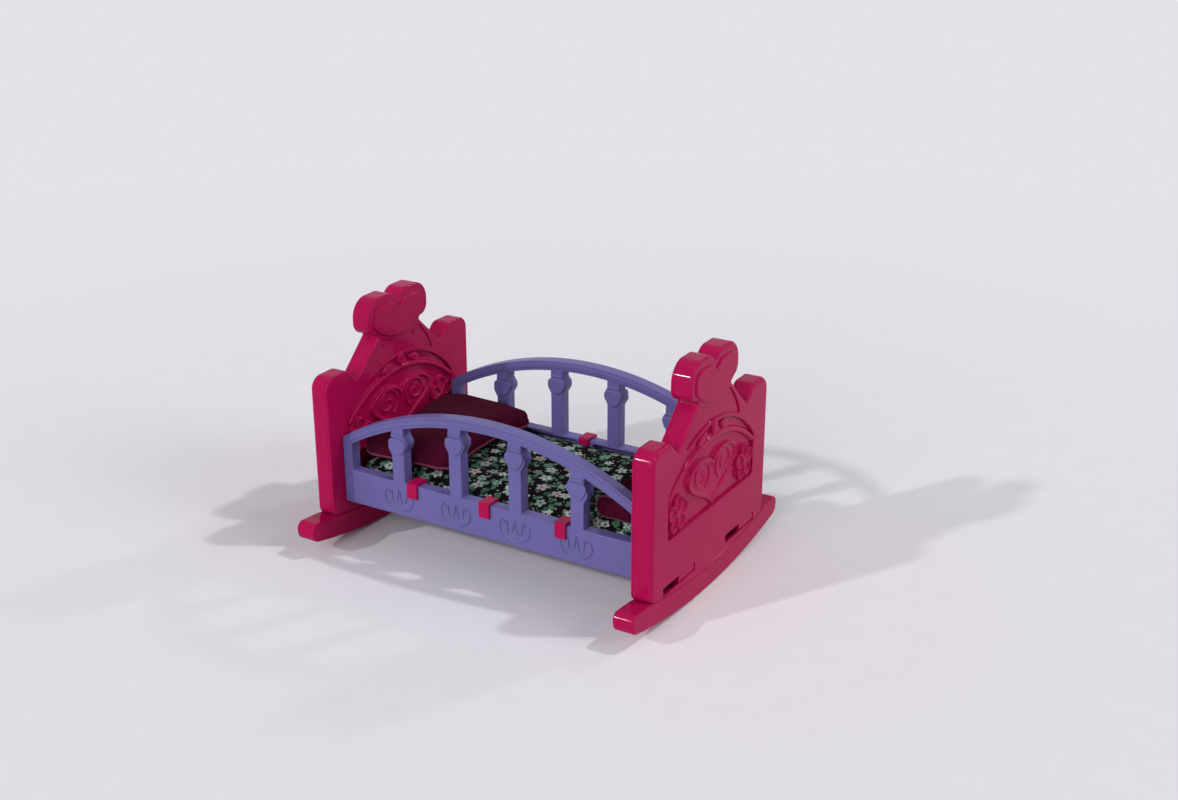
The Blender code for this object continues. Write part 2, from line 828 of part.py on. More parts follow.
def bar_mesh():
    """A cross bar: a strap with a rib under it, whose ends rise and hook over the rails."""
    top = SKIRT_TOP + SEAT_GAP
    outer = [
        (0, BAR_BOTTOM, 0),
        (RAIL_IN - SEAT_GAP, BAR_BOTTOM, HOOK_BEND),
        (RAIL_IN - SEAT_GAP, top, 0),
        (RAIL_OUT + SEAT_GAP, top, 0),
        (RAIL_OUT + SEAT_GAP, top + BAR_THICK - HOOK_LEG, 0),
        (RAIL_OUT + SEAT_GAP + BAR_THICK, top + BAR_THICK - HOOK_LEG, 0),
        (RAIL_OUT + SEAT_GAP + BAR_THICK, top + BAR_THICK, HOOK_BEND),
        (RAIL_IN - SEAT_GAP - BAR_THICK, top + BAR_THICK, HOOK_BEND),
        (RAIL_IN - SEAT_GAP - BAR_THICK, BAR_BOTTOM + BAR_THICK, 0),
        (0, BAR_BOTTOM + BAR_THICK, 0),
    ]
    strap = prism(both_halves(rounded(outer)), -BAR_WIDTH / 2, BAR_WIDTH / 2, "bar")
    rib_half = RAIL_IN - SEAT_GAP - HOOK_BEND
    rib = block(
        (-BAR_THICK / 2, -rib_half, BAR_BOTTOM - BAR_RIB_DEPTH),
        (BAR_THICK / 2, rib_half, BAR_BOTTOM + BAR_THICK / 2),
        "rib",
    )
    return combine(strap, [rib], "UNION")


def base_mesh():
    """The bed base: a flat board with round corners."""
    half_length = HALF_LENGTH - BASE_END_GAP
    right = rounded([
        (0, -BASE_HALF_WIDTH, 0),
        (half_length, -BASE_HALF_WIDTH, BASE_CORNER),
        (half_length, BASE_HALF_WIDTH, BASE_CORNER),
        (0, BASE_HALF_WIDTH, 0),
    ])
    heights = (BASE_BOTTOM, BASE_BOTTOM + BASE_THICK)
    shape = bmesh.new()
    outline = both_halves(right)
    rings = [[shape.verts.new((a, b, height)) for a, b in outline] for height in heights]
    bridge(shape, rings[0], rings[1])
    for ring in rings:
        shape.faces.new(ring)
    return mesh_of(shape, "bed_base")


def crown_height(u, v, thick, crown, swell_share):
    """Height of a cushion's crowned top, for u and v from -1 to 1 across its plan."""
    fade = max(0.0, 1 - u * u) * max(0.0, 1 - v * v)
    return thick - crown + crown * fade**swell_share


def cushion_mesh(length, width, thick, crown, draw, edge_round, swell_share, faces, name):
    """A stuffed cushion: a flat underside, round edges, drawn-in sides and a crowned top."""
    edge_shares = ((0.0, 0.6), (0.22, 0.0), (0.5, 0.0), (0.78, 0.3), (1.0, 1.0))
    shape = bmesh.new()
    us, vs = (
        [math.sin(math.pi * (k / count - 1 / 2)) for k in range(count + 1)]
        for count in faces
    )
    rim = [(u, vs[0]) for u in us[:-1]] + [(us[-1], v) for v in vs[:-1]]
    rim += [(u, vs[-1]) for u in reversed(us[1:])] + [(us[0], v) for v in reversed(vs[1:])]

    def point(u, v, inset_share, height):
        """A point on or in the rim, drawn in more towards the middle of each side."""
        draw_in = edge_round * inset_share
        along = length / 2 - draw * (1 - v * v) - draw_in
        across = width / 2 - draw * (1 - u * u) - draw_in
        return shape.verts.new((along * u, across * v, height))

    def sheet(inset_share, height_of):
        """Faces of the top or the underside, with their rim points in order."""
        points = {(u, v): point(u, v, inset_share, height_of(u, v)) for u in us for v in vs}
        for u, after_u in zip(us, us[1:]):
            for v, after_v in zip(vs, vs[1:]):
                corners = ((u, v), (after_u, v), (after_u, after_v), (u, after_v))
                shape.faces.new([points[corner] for corner in corners])
        return [points[place] for place in rim]

    rings = [sheet(edge_shares[0][1], lambda u, v: 0.0)]
    for height_share, inset_share in edge_shares[1:-1]:
        height = (thick - crown) * height_share
        rings.append([point(u, v, inset_share, height) for u, v in rim])
    top = sheet(edge_shares[-1][1], lambda u, v: crown_height(u, v, thick, crown, swell_share))
    for lower, upper in zip(rings, rings[1:] + [top]):
        bridge(shape, lower, upper)
    mesh = mesh_of(shape, name)
    mesh.shade_smooth()
    return mesh


def cushion_floor(inner_edge):
    """Height at which a cushion lies on the mattress, from the place of its inner edge."""
    reach = BED_LENGTH / 2 - MATTRESS_DRAW - MATTRESS_ROUND
    rise = crown_height(
        inner_edge / reach, 0, MATTRESS_THICK, MATTRESS_CROWN, MATTRESS_SWELL_SHARE
    )
    return MATTRESS_FLOOR + rise + CUSHION_LIFT


def pin_mesh():
    """A push pin along X, with its low round head towards the bed."""
    head = arc((0, 0), PIN_HEAD / 2, 0, math.tau, ROUND_SIDES)[:-1]
    shank = arc((0, 0), PIN_SHANK / 2, 0, math.tau, ROUND_SIDES)[:-1]
    under_head = HALF_LENGTH + PIN_HEAD_THICK - PIN_GAP
    crown_share = 0.7
    point_share = 0.3
    rings = [
        (shrunk(head, (0, 0), crown_share), under_head - PIN_HEAD_THICK),
        (head, under_head - PIN_HEAD_THICK / 2),
        (head, under_head),
        (shank, under_head),
        (shank, HALF_LENGTH + PIN_LENGTH - PIN_SHANK),
        (shrunk(shank, (0, 0), point_share), HALF_LENGTH + PIN_LENGTH),
    ]
    return stack(rings, "pin")


def build():
    """Make every piece of the cradle."""
    clear_scene()
    pink = finish("pink_plastic", PINK, 0.24)
    violet = finish("violet_plastic", VIOLET, 0.38)
    floral = finish("floral_cotton", NIGHT_BLUE, 0.9)
    maroon = finish("maroon_cloth", MAROON, 0.85)

    outer = outer_shell_mesh()
    cover = inner_shell_mesh()
    rocker = rocker_mesh()
    pin = pin_mesh()
    for end, turn in (("foot", 0.0), ("head", math.pi)):
        stand(f"{end}_outer_shell", outer, pink, turn=turn)
        stand(f"{end}_inner_shell", cover, pink, turn=turn)
        stand(f"{end}_rocker", rocker, pink, turn=turn)
        for k, (across, up) in enumerate(pin_places()):
            spin = Matrix.Rotation(turn, 3, "Z") @ Vector((0, across, 0))
            stand(f"{end}_push_pin_{k + 1}", pin, pink, (spin.x, spin.y, up), turn)

    rail = rail_mesh()
    stand("near_side_rail", rail, violet, (0, -RAIL_MIDDLE, 0))
    stand("far_side_rail", rail, violet, (0, RAIL_MIDDLE, 0), math.pi)

    bar = bar_mesh()
    for name, along in zip(("head", "middle", "foot"), bar_places()):
        stand(f"{name}_cross_bar", bar, pink, (along, 0, 0))

    stand("bed_base", base_mesh(), violet)

    mattress = cushion_mesh(
        BED_LENGTH,
        BED_WIDTH,
        MATTRESS_THICK,
        MATTRESS_CROWN,
        MATTRESS_DRAW,
        MATTRESS_ROUND,
        MATTRESS_SWELL_SHARE,
        MATTRESS_FACES,
        "mattress",
    )
    stand("mattress", mattress, floral, (0, 0, MATTRESS_FLOOR))
    pillow = cushion_mesh(
        PILLOW_LENGTH,
        BED_WIDTH - 2 * PILLOW_SIDE_GAP,
        PILLOW_THICK,
        PILLOW_CROWN,
        PILLOW_DRAW,
        PILLOW_ROUND,
        CUSHION_SWELL_SHARE,
        PILLOW_FACES,
        "pillow",
    )
    pillow_middle = PILLOW_LENGTH / 2 - BED_LENGTH / 2
    pillow_edge = pillow_middle + PILLOW_LENGTH / 2
    stand("pillow", pillow, maroon, (pillow_middle, 0, cushion_floor(pillow_edge)))
    bolster = cushion_mesh(
        BOLSTER_LENGTH,
        BED_WIDTH - 2 * BOLSTER_SIDE_GAP,
        BOLSTER_THICK,
        BOLSTER_CROWN,
        BOLSTER_DRAW,
        BOLSTER_ROUND,
        CUSHION_SWELL_SHARE,
        BOLSTER_FACES,
        "foot_bolster",
    )
    bolster_middle = BED_LENGTH / 2 - BOLSTER_LENGTH / 2
    bolster_edge = bolster_middle - BOLSTER_LENGTH / 2
    stand("foot_bolster", bolster, maroon, (bolster_middle, 0, cushion_floor(bolster_edge)))


build()
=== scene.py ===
"""The looks of a doll's rocking cradle: pink moulded ends and rockers, violet side rails and soft bedding.

The length runs along X with the headboard at -X, Y runs across and Z is up. All sizes are in metres.
"""
import json
import math

import bpy
from mathutils import Matrix, Vector

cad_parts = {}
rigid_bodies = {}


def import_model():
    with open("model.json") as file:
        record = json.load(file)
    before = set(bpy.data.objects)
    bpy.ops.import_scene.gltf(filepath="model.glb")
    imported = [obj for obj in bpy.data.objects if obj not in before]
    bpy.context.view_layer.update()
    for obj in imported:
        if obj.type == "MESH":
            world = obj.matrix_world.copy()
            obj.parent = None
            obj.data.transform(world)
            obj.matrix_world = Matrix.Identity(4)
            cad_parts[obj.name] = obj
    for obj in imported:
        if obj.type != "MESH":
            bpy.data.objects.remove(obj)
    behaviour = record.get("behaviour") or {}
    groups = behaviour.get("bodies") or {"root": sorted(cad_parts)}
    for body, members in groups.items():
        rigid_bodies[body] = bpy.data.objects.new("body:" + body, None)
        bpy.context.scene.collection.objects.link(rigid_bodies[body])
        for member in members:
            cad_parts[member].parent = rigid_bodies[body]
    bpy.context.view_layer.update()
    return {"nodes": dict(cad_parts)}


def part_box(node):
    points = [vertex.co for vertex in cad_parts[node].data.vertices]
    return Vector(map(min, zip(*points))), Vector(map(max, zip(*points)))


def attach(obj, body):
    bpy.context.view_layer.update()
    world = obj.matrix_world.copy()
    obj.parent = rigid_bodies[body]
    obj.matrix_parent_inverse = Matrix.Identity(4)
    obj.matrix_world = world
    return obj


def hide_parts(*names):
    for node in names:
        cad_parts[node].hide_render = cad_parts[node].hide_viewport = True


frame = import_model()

# Places of the cradle's ends, from the bed outwards
INNER_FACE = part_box("foot_inner_shell")[0].x
COVER_THICK = 0.0032
PANEL_THICK = 0.025
PARTING = INNER_FACE + COVER_THICK
SEAM = 0.0003
OUTER_FACE = INNER_FACE + PANEL_THICK
WALL = 0.0024
RIM_ROUND = 0.0060
RIM_STEPS = 8
BEDDING_SPREAD = 0.0050
PIPING_RADIUS = 0.0015
CLOSE = 0.0001

# Rocker and panel outline
SOLE_RADIUS = 0.752
SOLE_FLAT = 0.009
ROCKER_DEPTH = 0.0272
HALF_WIDTH = 0.140
POST_TOP = 0.2115
CROWN_HALF = 0.058
CROWN_TOP = 0.282
SLOT_NEAR = 0.038
SLOT_FAR = 0.112
SLOT_SILL = 0.0372
SLOT_HEAD = 0.0472
SILL = 0.099
FIELD_HALF = 0.104
FIELD_SPRING = 0.150
FIELD_APEX = 0.199
FIELD_DEPTH = 0.004
PIN_PLACES = ((-0.062, 0.070), (0.062, 0.070), (-0.030, 0.222), (0.030, 0.222))

# Side rails and cross bars
RAIL_IN = 0.1015
RAIL_OUT = 0.1165
RAIL_MIDDLE = 0.109
RAIL_BOTTOM = 0.052
SKIRT_TOP = 0.094
STILE_IN = 0.187
ARCH_CENTRE = -0.18694
ARCH_RADIUS = 0.36594
ARCH_BAND = 0.0125
SPINDLE_HALF = 0.0085
RIB_HALF = 0.011
RAIL_END = 0.1997
LIP_END = 0.1955
SPINDLES = (-0.120, -0.040, 0.040, 0.120)
BARS = (-0.100, 0.0, 0.100)


# Hand tools

def leave_edit():
    """Go back from edit mode to whole pieces."""
    bpy.ops.object.mode_set(mode="OBJECT")


def clear_selection():
    """Deselect everything, out of edit mode."""
    if bpy.context.mode != "OBJECT":
        leave_edit()
    bpy.ops.object.select_all(action="DESELECT")


def only(piece):
    """Leave a piece alone selected and active, out of edit mode."""
    clear_selection()
    piece.select_set(True)
    bpy.context.view_layer.objects.active = piece


def new_piece(name):
    """The piece that was just added, named, with its place in its mesh."""
    piece = bpy.context.object
    piece.name = name
    bpy.ops.object.transform_apply(location=True, rotation=True, scale=True)
    return piece


def pull(way):
    """Extrude what is selected."""
    bpy.ops.mesh.extrude_region_move(TRANSFORM_OT_translate={"value": way})


def every(*_):
    """The test that anything passes."""
    return True


def beyond(axis, level, way=1):
    """The test for edges that lie wholly past a level along an axis."""
    return lambda a, b: (a[axis] - level) * way > 0 and (b[axis] - level) * way > 0


def pick(piece, kind, test):
    """Open a piece in edit mode with only the vertices, edges or faces that pass a test selected."""
    only(piece)
    bpy.ops.object.mode_set(mode="EDIT")
    bpy.ops.mesh.select_mode(type=kind)
    bpy.ops.mesh.select_all(action="DESELECT")
    leave_edit()
    mesh = piece.data
    if kind == "VERT":
        for point in mesh.vertices:
            point.select = bool(test(point.co))
    elif kind == "EDGE":
        for edge in mesh.edges:
            ends = [mesh.vertices[k].co for k in edge.vertices]
            edge.select = bool(test(*ends))
    else:
        for face in mesh.polygons:
            face.select = bool(test(face.center, face.normal))
    bpy.ops.object.mode_set(mode="EDIT")


def face_out(piece):
    """Turn every face of a closed piece outwards."""
    pick(piece, "FACE", every)
    bpy.ops.mesh.normals_make_consistent(inside=False)
    leave_edit()


def trace(name, points, closed=True):
    """Draw a run of points by extruding one vertex, and fill it if it is closed."""
    clear_selection()
    bpy.ops.mesh.primitive_plane_add(size=0.01)
    piece = bpy.context.object
    piece.name = name
    bpy.ops.object.mode_set(mode="EDIT")
    bpy.ops.mesh.select_mode(type="VERT")
    bpy.ops.mesh.select_all(action="SELECT")
    bpy.ops.mesh.merge(type="CENTER")
    bpy.ops.transform.translate(value=points[0])
    for here, after in zip(points, points[1:]):
        pull(Vector(after) - Vector(here))
    if closed:
        bpy.ops.mesh.select_all(action="SELECT")
        bpy.ops.mesh.edge_face_add()
    leave_edit()
    return piece


def slab(name, points, way):
    """A traced outline extruded into a solid."""
    piece = trace(name, points)
    pick(piece, "FACE", every)
    pull(way)
    face_out(piece)
    return piece


def block(name, low, high):
    """A squared block from its lowest corner to its highest."""
    low, high = Vector(low), Vector(high)
    clear_selection()
    bpy.ops.mesh.primitive_cube_add(size=1, location=(low + high) / 2, scale=high - low)
    return new_piece(name)


def rod(name, centre, radius, low, high, sides=32):
    """A round rod along X at a place (y, z)."""
    clear_selection()
    bpy.ops.mesh.primitive_cylinder_add(
        vertices=sides, radius=radius, depth=high - low,
        location=((low + high) / 2, centre[0], centre[1]), rotation=(0, math.pi / 2, 0))
    return new_piece(name)


def round_edges(piece, width, steps, test):
    """Bevel the edges that pass a test."""
    pick(piece, "EDGE", test)
    bpy.ops.mesh.bevel(
        offset_type="OFFSET", offset=width, segments=steps, profile=0.5,
        affect="EDGES", clamp_overlap=False)
    leave_edit()


def modify(piece, kind, **settings):
    """Add a modifier with these settings and apply it."""
    only(piece)
    bpy.ops.object.modifier_add(type=kind)
    added = piece.modifiers[-1]
    for setting, value in settings.items():
        setattr(added, setting, value)
    bpy.ops.object.modifier_apply(modifier=added.name)


def combine(piece, tools, way):
    """Cut tools out of a piece, or weld them to it, one after another."""
    for tool in tools:
        modify(piece, "BOOLEAN", operation=way, solver="EXACT", object=tool)
        bpy.data.objects.remove(tool)


def joined(name, pieces):
    """Several pieces made one object."""
    only(pieces[0])
    for piece in pieces[1:]:
        piece.select_set(True)
    bpy.ops.object.join()
    pieces[0].name = name
    return pieces[0]


def copied(piece, name, move=(0, 0, 0), turn=0.0, about="Z"):
    """A copy with its own mesh, turned and then moved, with its place in its mesh."""
    only(piece)
    bpy.ops.object.duplicate(linked=False)
    bpy.context.object.matrix_world = Matrix.Translation(move) @ Matrix.Rotation(turn, 4, about)
    return new_piece(name)


def placed(piece, name, move=(0, 0, 0), turn=0.0, about="Z"):
    """A piece turned and moved to its place for good."""
    made = copied(piece, name, move, turn, about)
    bpy.data.objects.remove(piece)
    return made


def roll_bead(name, points, radius, closed=False, sides=3, taper=None):
    """A round bead laid along a run of points."""
    if closed:
        points = list(points) + [points[0]]
    piece = trace(name, points, closed=False)
    if closed:
        pick(piece, "VERT", every)
        bpy.ops.mesh.remove_doubles(threshold=0.0001)
    only(piece)
    bpy.ops.object.convert(target="CURVE")
    piece = bpy.context.object
    piece.data.bevel_depth = radius
    piece.data.bevel_resolution = sides
    piece.data.use_fill_caps = True
    if taper:
        knots = piece.data.splines[0].points
        for k, knot in enumerate(knots):
            knot.radius = taper(k / (len(knots) - 1))
    bpy.ops.object.convert(target="MESH")
    piece = bpy.context.object
    piece.name = name
    face_out(piece)
    return piece


def smooth_off(piece, angle=35):
    """Smooth shading that keeps crisp edges and flat faces."""
    only(piece)
    bpy.ops.object.shade_smooth_by_angle(angle=math.radians(angle))
    modify(piece, "WEIGHTED_NORMAL", keep_sharp=True, weight=60)
    return piece


def soften(piece):
    """Smooth shading all over."""
    only(piece)
    bpy.ops.object.shade_smooth()


def stand_for(piece, body, slot, finish, *nodes):
    """Give a piece its finish, and set it on its body in place of the plain nodes."""
    piece.data.materials.clear()
    piece.data.materials.append(finish)
    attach(piece, body)
    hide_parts(*nodes)


# Outlines

def arc(centre, radius, start, end, steps):
    """Points along an arc, both ends included."""
    turns = [start + (end - start) * k / steps for k in range(steps + 1)]
    return [(centre[0] + radius * math.cos(t), centre[1] + radius * math.sin(t)) for t in turns]


def rounded(corners, step=9):
    """A run of points whose corners (a, b, radius) are rounded off; the ends stay."""
    points = [corners[0][:2]]
    for before, here, after in zip(corners, corners[1:], corners[2:]):
        at = Vector(here[:2])
        back = (Vector(before[:2]) - at).normalized()
        ahead = (Vector(after[:2]) - at).normalized()
        radius = here[2]
        if not radius:
            points.append(here[:2])
            continue
        half = back.angle(ahead) / 2
        centre = at + (back + ahead).normalized() * radius / math.sin(half)
        first = at + back * radius / math.tan(half) - centre
        turn = math.pi - 2 * half
        steps = max(2, round(math.degrees(turn) / step))
        side = -1 if back.cross(ahead) > 0 else 1
        for k in range(steps + 1):
            points.append(tuple(centre + Matrix.Rotation(side * turn * k / steps, 2) @ first))
    points.append(corners[-1][:2])
    return points


def curve_through(points, steps=6):
    """A smooth run through a few points, ends included."""
    run = []
    padded = [points[0]] + list(points) + [points[-1]]
    for a, b, c, d in zip(padded, padded[1:], padded[2:], padded[3:]):
        for k in range(steps):
            t = k / steps
            run.append(tuple(
                0.5 * (2 * q + (r - p) * t + (2 * p - 5 * q + 4 * r - s) * t**2
                       + (3 * q - p - 3 * r + s) * t**3)
                for p, q, r, s in zip(a, b, c, d)))
    run.append(tuple(points[-1]))
    return run


def both_halves(half):
    """A closed outline from its right half, which runs up from the middle of its foot."""
    left = [(-a, b) for a, b in reversed(half) if abs(a) > CLOSE]
    return half + left


def in_face(points, level):
    """Points (y, z) stood up in a face of an end."""
    return [Vector((level, a, b)) for a, b in points]


def in_side(points, level):
    """Points (x, z) stood up in the side of a rail."""
    return [Vector((a, level, b)) for a, b in points]


def sole_height(across):
    """Height of the curved sole, at a place across the cradle."""
    if across < SOLE_FLAT:
        return 0.0
    return math.sqrt(SOLE_RADIUS**2 - SOLE_FLAT**2) - math.sqrt(SOLE_RADIUS**2 - across**2)


def panel_outline():
    """An end panel: a heart-topped crown between two posts."""
    half = [(0.012 * k, ROCKER_DEPTH + sole_height(0.012 * k) + SEAM) for k in range(10)]
    return both_halves(half + rounded([
        (0.122, ROCKER_DEPTH + sole_height(0.122) + SEAM, 0),
        (HALF_WIDTH, ROCKER_DEPTH + sole_height(HALF_WIDTH) + SEAM, 0.008),
        (HALF_WIDTH, POST_TOP, 0.016),
        (0.100, POST_TOP, 0.012),
        (0.083, 0.194, 0.005),
        (0.0375, 0.2375, 0.003),
        (CROWN_HALF, 0.2395, 0.014),
        (CROWN_HALF, CROWN_TOP, 0.024),
        (0.012, CROWN_TOP, 0.018),
        (0.0, 0.273, 0),
    ], step=4))


def arch_over(half_span, spring, apex, steps):
    """Points (y, z) along the right half of an arch, from its spring to its apex."""
    rise = apex - spring
    radius = (half_span**2 + rise**2) / (2 * rise)
    start = math.atan2(spring - apex + radius, half_span)
    return arc((0, apex - radius), radius, start, math.pi / 2, steps)


def field_outline(spread=0.0):
    """The sunk field of a panel: a sill, two upright sides and an arched head."""
    side = FIELD_HALF + spread
    half = [(0, SILL - spread)] + rounded([
        (side / 2, SILL - spread, 0), (side, SILL - spread, 0.006), (side, FIELD_SPRING, 0)])
    return both_halves(half + arch_over(side, FIELD_SPRING, FIELD_APEX + spread, 16)[1:])


def neck_outline():
    """The shallow sunk neck between the field and the crown."""
    low = [(a, b + 0.0045) for a, b in reversed(arch_over(FIELD_HALF, FIELD_SPRING, FIELD_APEX, 24))]
    low = [point for point in low if point[0] < 0.052]
    side = curve_through([
        (0.0585, 0.1907), (0.0632, 0.1896), (0.0643, 0.1925), (0.0590, 0.2035), (0.0510, 0.2150),
        (0.0420, 0.2252), (0.0370, 0.2282), (0.0310, 0.2285), (0.0190, 0.2252), (0.0080, 0.2228),
        (0.0, 0.2222)], 4)
    return both_halves(low + side)


def badge_outline():
    """The raised heart on the crown, a finger's width inside its edge."""
    low = curve_through([
        (0.0, 0.2268), (0.010, 0.2276), (0.022, 0.2305), (0.034, 0.2358), (0.043, 0.2425)], 4)
    return both_halves(low + rounded([
        (0.0445, 0.2440, 0), (0.0478, 0.2475, 0.004), (0.0478, 0.2715, 0.0140),
        (0.0120, 0.2715, 0.016), (0.0, 0.2625, 0)]))


def heart_outline(grow=1.0):
    """The heart in the middle of the field, from its tip up."""
    half = []
    for k in range(33):
        turn = math.pi * (1 - k / 32)
        up = 13 * math.cos(turn) - 5 * math.cos(2 * turn) - 2 * math.cos(3 * turn) - math.cos(4 * turn)
        half.append((0.0590 * grow * math.sin(turn) ** 3, 0.1342 + (up / 28.9 * 0.0625 + 0.0052) * grow))
    return both_halves(half)


# Relief of the end panels

def drop(middle, reach, width, lean=0.0, point=1.0):
    """A closed drop outline (across, up), fuller towards its top by lean and pointed by point."""
    points = []
    for k in range(28):
        turn = math.tau * k / 28
        side = math.copysign(abs(math.sin(turn)) ** point, math.sin(turn))
        points.append((-width * side * (1 + lean * math.cos(turn)), middle + reach * math.cos(turn)))
    return points


def raised(name, outline, back, height, soft, steps):
    """A raised shape with a soft front edge, its back at a level of X."""
    piece = slab(name, in_face(outline, back), (height, 0, 0))
    round_edges(piece, soft, steps, beyond(0, back + height - CLOSE))
    return piece


def petal(angle):
    """One cupped petal of a flower, its root at the middle."""
    piece = raised("petal", drop(0.0120, 0.0103, 0.0084, lean=0.24), 0.0, 0.0050, 0.0016, 3)
    pick(piece, "FACE", lambda centre, normal: normal.x > 0.9 and centre.x > 0.0049)
    bpy.ops.mesh.inset(thickness=0.0014)
    bpy.ops.transform.translate(value=(-0.0028, 0, 0))
    leave_edit()
    return placed(piece, "petal_turned", turn=angle, about="X")


def flower():
    """A moulded flower of five cupped petals and a button."""
    made = [petal(math.tau * k / 5) for k in range(5)]
    clear_selection()
    bpy.ops.mesh.primitive_uv_sphere_add(segments=24, ring_count=12, radius=0.0048, scale=(1.1, 1, 1))
    return joined("flower", made + [new_piece("button")])


def scroll(hand):
    """The curled ridge in one lobe of the heart, thinning towards its eye."""
    points = []
    for k in range(46):
        share = k / 45
        turn = math.radians(-62 + 500 * share)
        reach = 0.0172 * (1 - share) ** 0.72 + 0.0016
        points.append((hand * (0.0272 - reach * math.cos(turn) * 1.12), 0.1462 + reach * math.sin(turn)))
    return roll_bead("scroll", in_face(points, 0.0030), 0.0019, taper=lambda t: 1.0 - 0.35 * t)


def leaf(hand):
    """A leaf of the sprig above the arch."""
    outline = [(b, a) for a, b in drop(0.0, 0.0112, 0.0050, point=1.3)]
    piece = raised("leaf", outline, 0.0, 0.0048, 0.0022, 3)
    return placed(piece, "leaf_set", (0, hand * 0.0265, 0.1897), -math.radians(hand * 20), "X")


def bud():
    """The upright bud in the middle of the sprig."""
    return raised("bud", drop(0.1956, 0.0089, 0.0064, lean=-0.2, point=1.15), 0.0, 0.0062, 0.0026, 3)


def field_relief():
    """The moulded picture of the sunk field, on its floor at X 0: heart, flowers, arch and sprig."""
    ground = slab("relief", in_face(field_outline(0.0008), -0.0012), (0.0014, 0, 0))
    heart = raised("heart", heart_outline(), -0.0005, 0.0030, 0.0014, 2)
    rim = roll_bead("rim", in_face(heart_outline(0.955), 0.0026), 0.0022, closed=True)
    parts = [ground, heart, rim, scroll(-1), scroll(1), leaf(-1), leaf(1), bud()]
    middle = flower()
    for hand in (-1, 1):
        parts.append(copied(middle, "flower_set", (0.0, hand * 0.0815, 0.1232)))
    bpy.data.objects.remove(middle)
    half = arch_over(0.1020, 0.1440, 0.1832, 24)
    span = half + [(-a, b) for a, b in reversed(half[:-1])]
    parts.append(roll_bead("arch", in_face(span, 0.0010), 0.0036))
    for hand in (-1, 1):
        stem = curve_through([(hand * 0.0180, 0.1868), (hand * 0.010, 0.1882), (hand * 0.003, 0.1862)], 5)
        parts.append(roll_bead("stem", in_face(stem, 0.0012), 0.0016))
    made = joined("relief", parts)
    modify(made, "REMESH", mode="VOXEL", voxel_size=0.0008)
    modify(made, "SMOOTH", factor=0.5, iterations=3)
    modify(made, "DECIMATE", ratio=0.5)
    pick(made, "FACE", every)
    bpy.ops.mesh.bisect(plane_co=(-0.0006, 0, 0), plane_no=(1, 0, 0), use_fill=True, clear_inner=True)
    pick(made, "VERT", lambda co: co.z < SILL)
    bpy.ops.mesh.select_linked()
    bpy.ops.mesh.select_all(action="INVERT")
    bpy.ops.mesh.delete(type="VERT")
    leave_edit()
    return made


# End panels, covers and rockers

def crown_badge():
    """The raised heart of the crown, its back at X 0."""
    return raised("badge", badge_outline(), -0.0006, 0.0028, 0.0018, 4)


def both_at(a, b, face):
    """Whether both ends of an edge lie at a level of X."""
    return abs(a.x - face) < CLOSE and abs(b.x - face) < CLOSE


def sunk_face(piece, face, side, neck_depth):
    """Sink the field and the neck into a face of a panel, and ease their rims."""
    field = slab("field", in_face(field_outline(), face - side * FIELD_DEPTH), (side * 0.01, 0, 0))
    neck = slab("neck", in_face(neck_outline(), face - side * neck_depth), (side * 0.01, 0, 0))
    combine(piece, [field, neck], "DIFFERENCE")

    def rim(a, b):
        middle = (a + b) / 2
        return both_at(a, b, face) and any(
            on_outline(middle, line) for line in (field_outline(), neck_outline()))

    round_edges(piece, 0.0011, 3, rim)


def on_outline(spot, line):
    """Whether a point of a panel's face lies on a closed outline."""
    at = Vector((spot.y, spot.z))
    for start, end in zip(line, line[1:] + line[:1]):
        start, end = Vector(start), Vector(end)
        way = end - start
        share = min(1.0, max(0.0, (at - start).dot(way) / way.length_squared))
        if (start + way * share - at).length < 0.00012:
            return True
    return False


def ease(value, low, high):
    """How far a value has come from one limit to another, 0 to 1, eased at both ends."""
    share = min(1.0, max(0.0, (value - low) / (high - low)))
    return share * share * (3 - 2 * share)


def rim_share(spot):
    """How wide the rim's rounding is at a point: full on the posts, less on the crown, least at the foot."""
    across, up = abs(spot.x), spot.y
    share = 0.60 + 0.40 * ease(across, 0.086, 0.112)
    if up > 0.06:
        return share
    return 0.17 + (share - 0.17) * ease(across, 0.131, 0.1398)


def round_rim(piece, outline, face):
    """Round the outline of a panel's face, ring by ring, to a width that eases along it."""
    rim = [Vector(point) for point in outline]
    outward = []
    for back, here, ahead in zip(rim[-1:] + rim[:-1], rim, rim[1:] + rim[:1]):
        first, second = (here - back).normalized(), (ahead - here).normalized()
        first, second = Vector((first.y, -first.x)), Vector((second.y, -second.x))
        outward.append((first + second) / (1 + first.dot(second)))
    pick(piece, "FACE", lambda centre, normal: normal.x > 0.9)
    places = list(rim)
    for step in range(RIM_STEPS + 1):
        if step:
            bpy.ops.mesh.extrude_region_move()
        leave_edit()
        turn = math.pi / 2 * step / RIM_STEPS
        after = list(places)
        for point in piece.data.vertices:
            if point.select:
                spot = Vector((point.co.y, point.co.z))
                k = min(range(len(rim)), key=lambda n: (places[n] - spot).length)
                radius = RIM_ROUND * rim_share(rim[k])
                after[k] = rim[k] - outward[k] * radius * (1 - math.cos(turn))
                point.co = (face - radius * (1 - math.sin(turn)), after[k].x, after[k].y)
        places = after
        bpy.ops.object.mode_set(mode="EDIT")
    leave_edit()


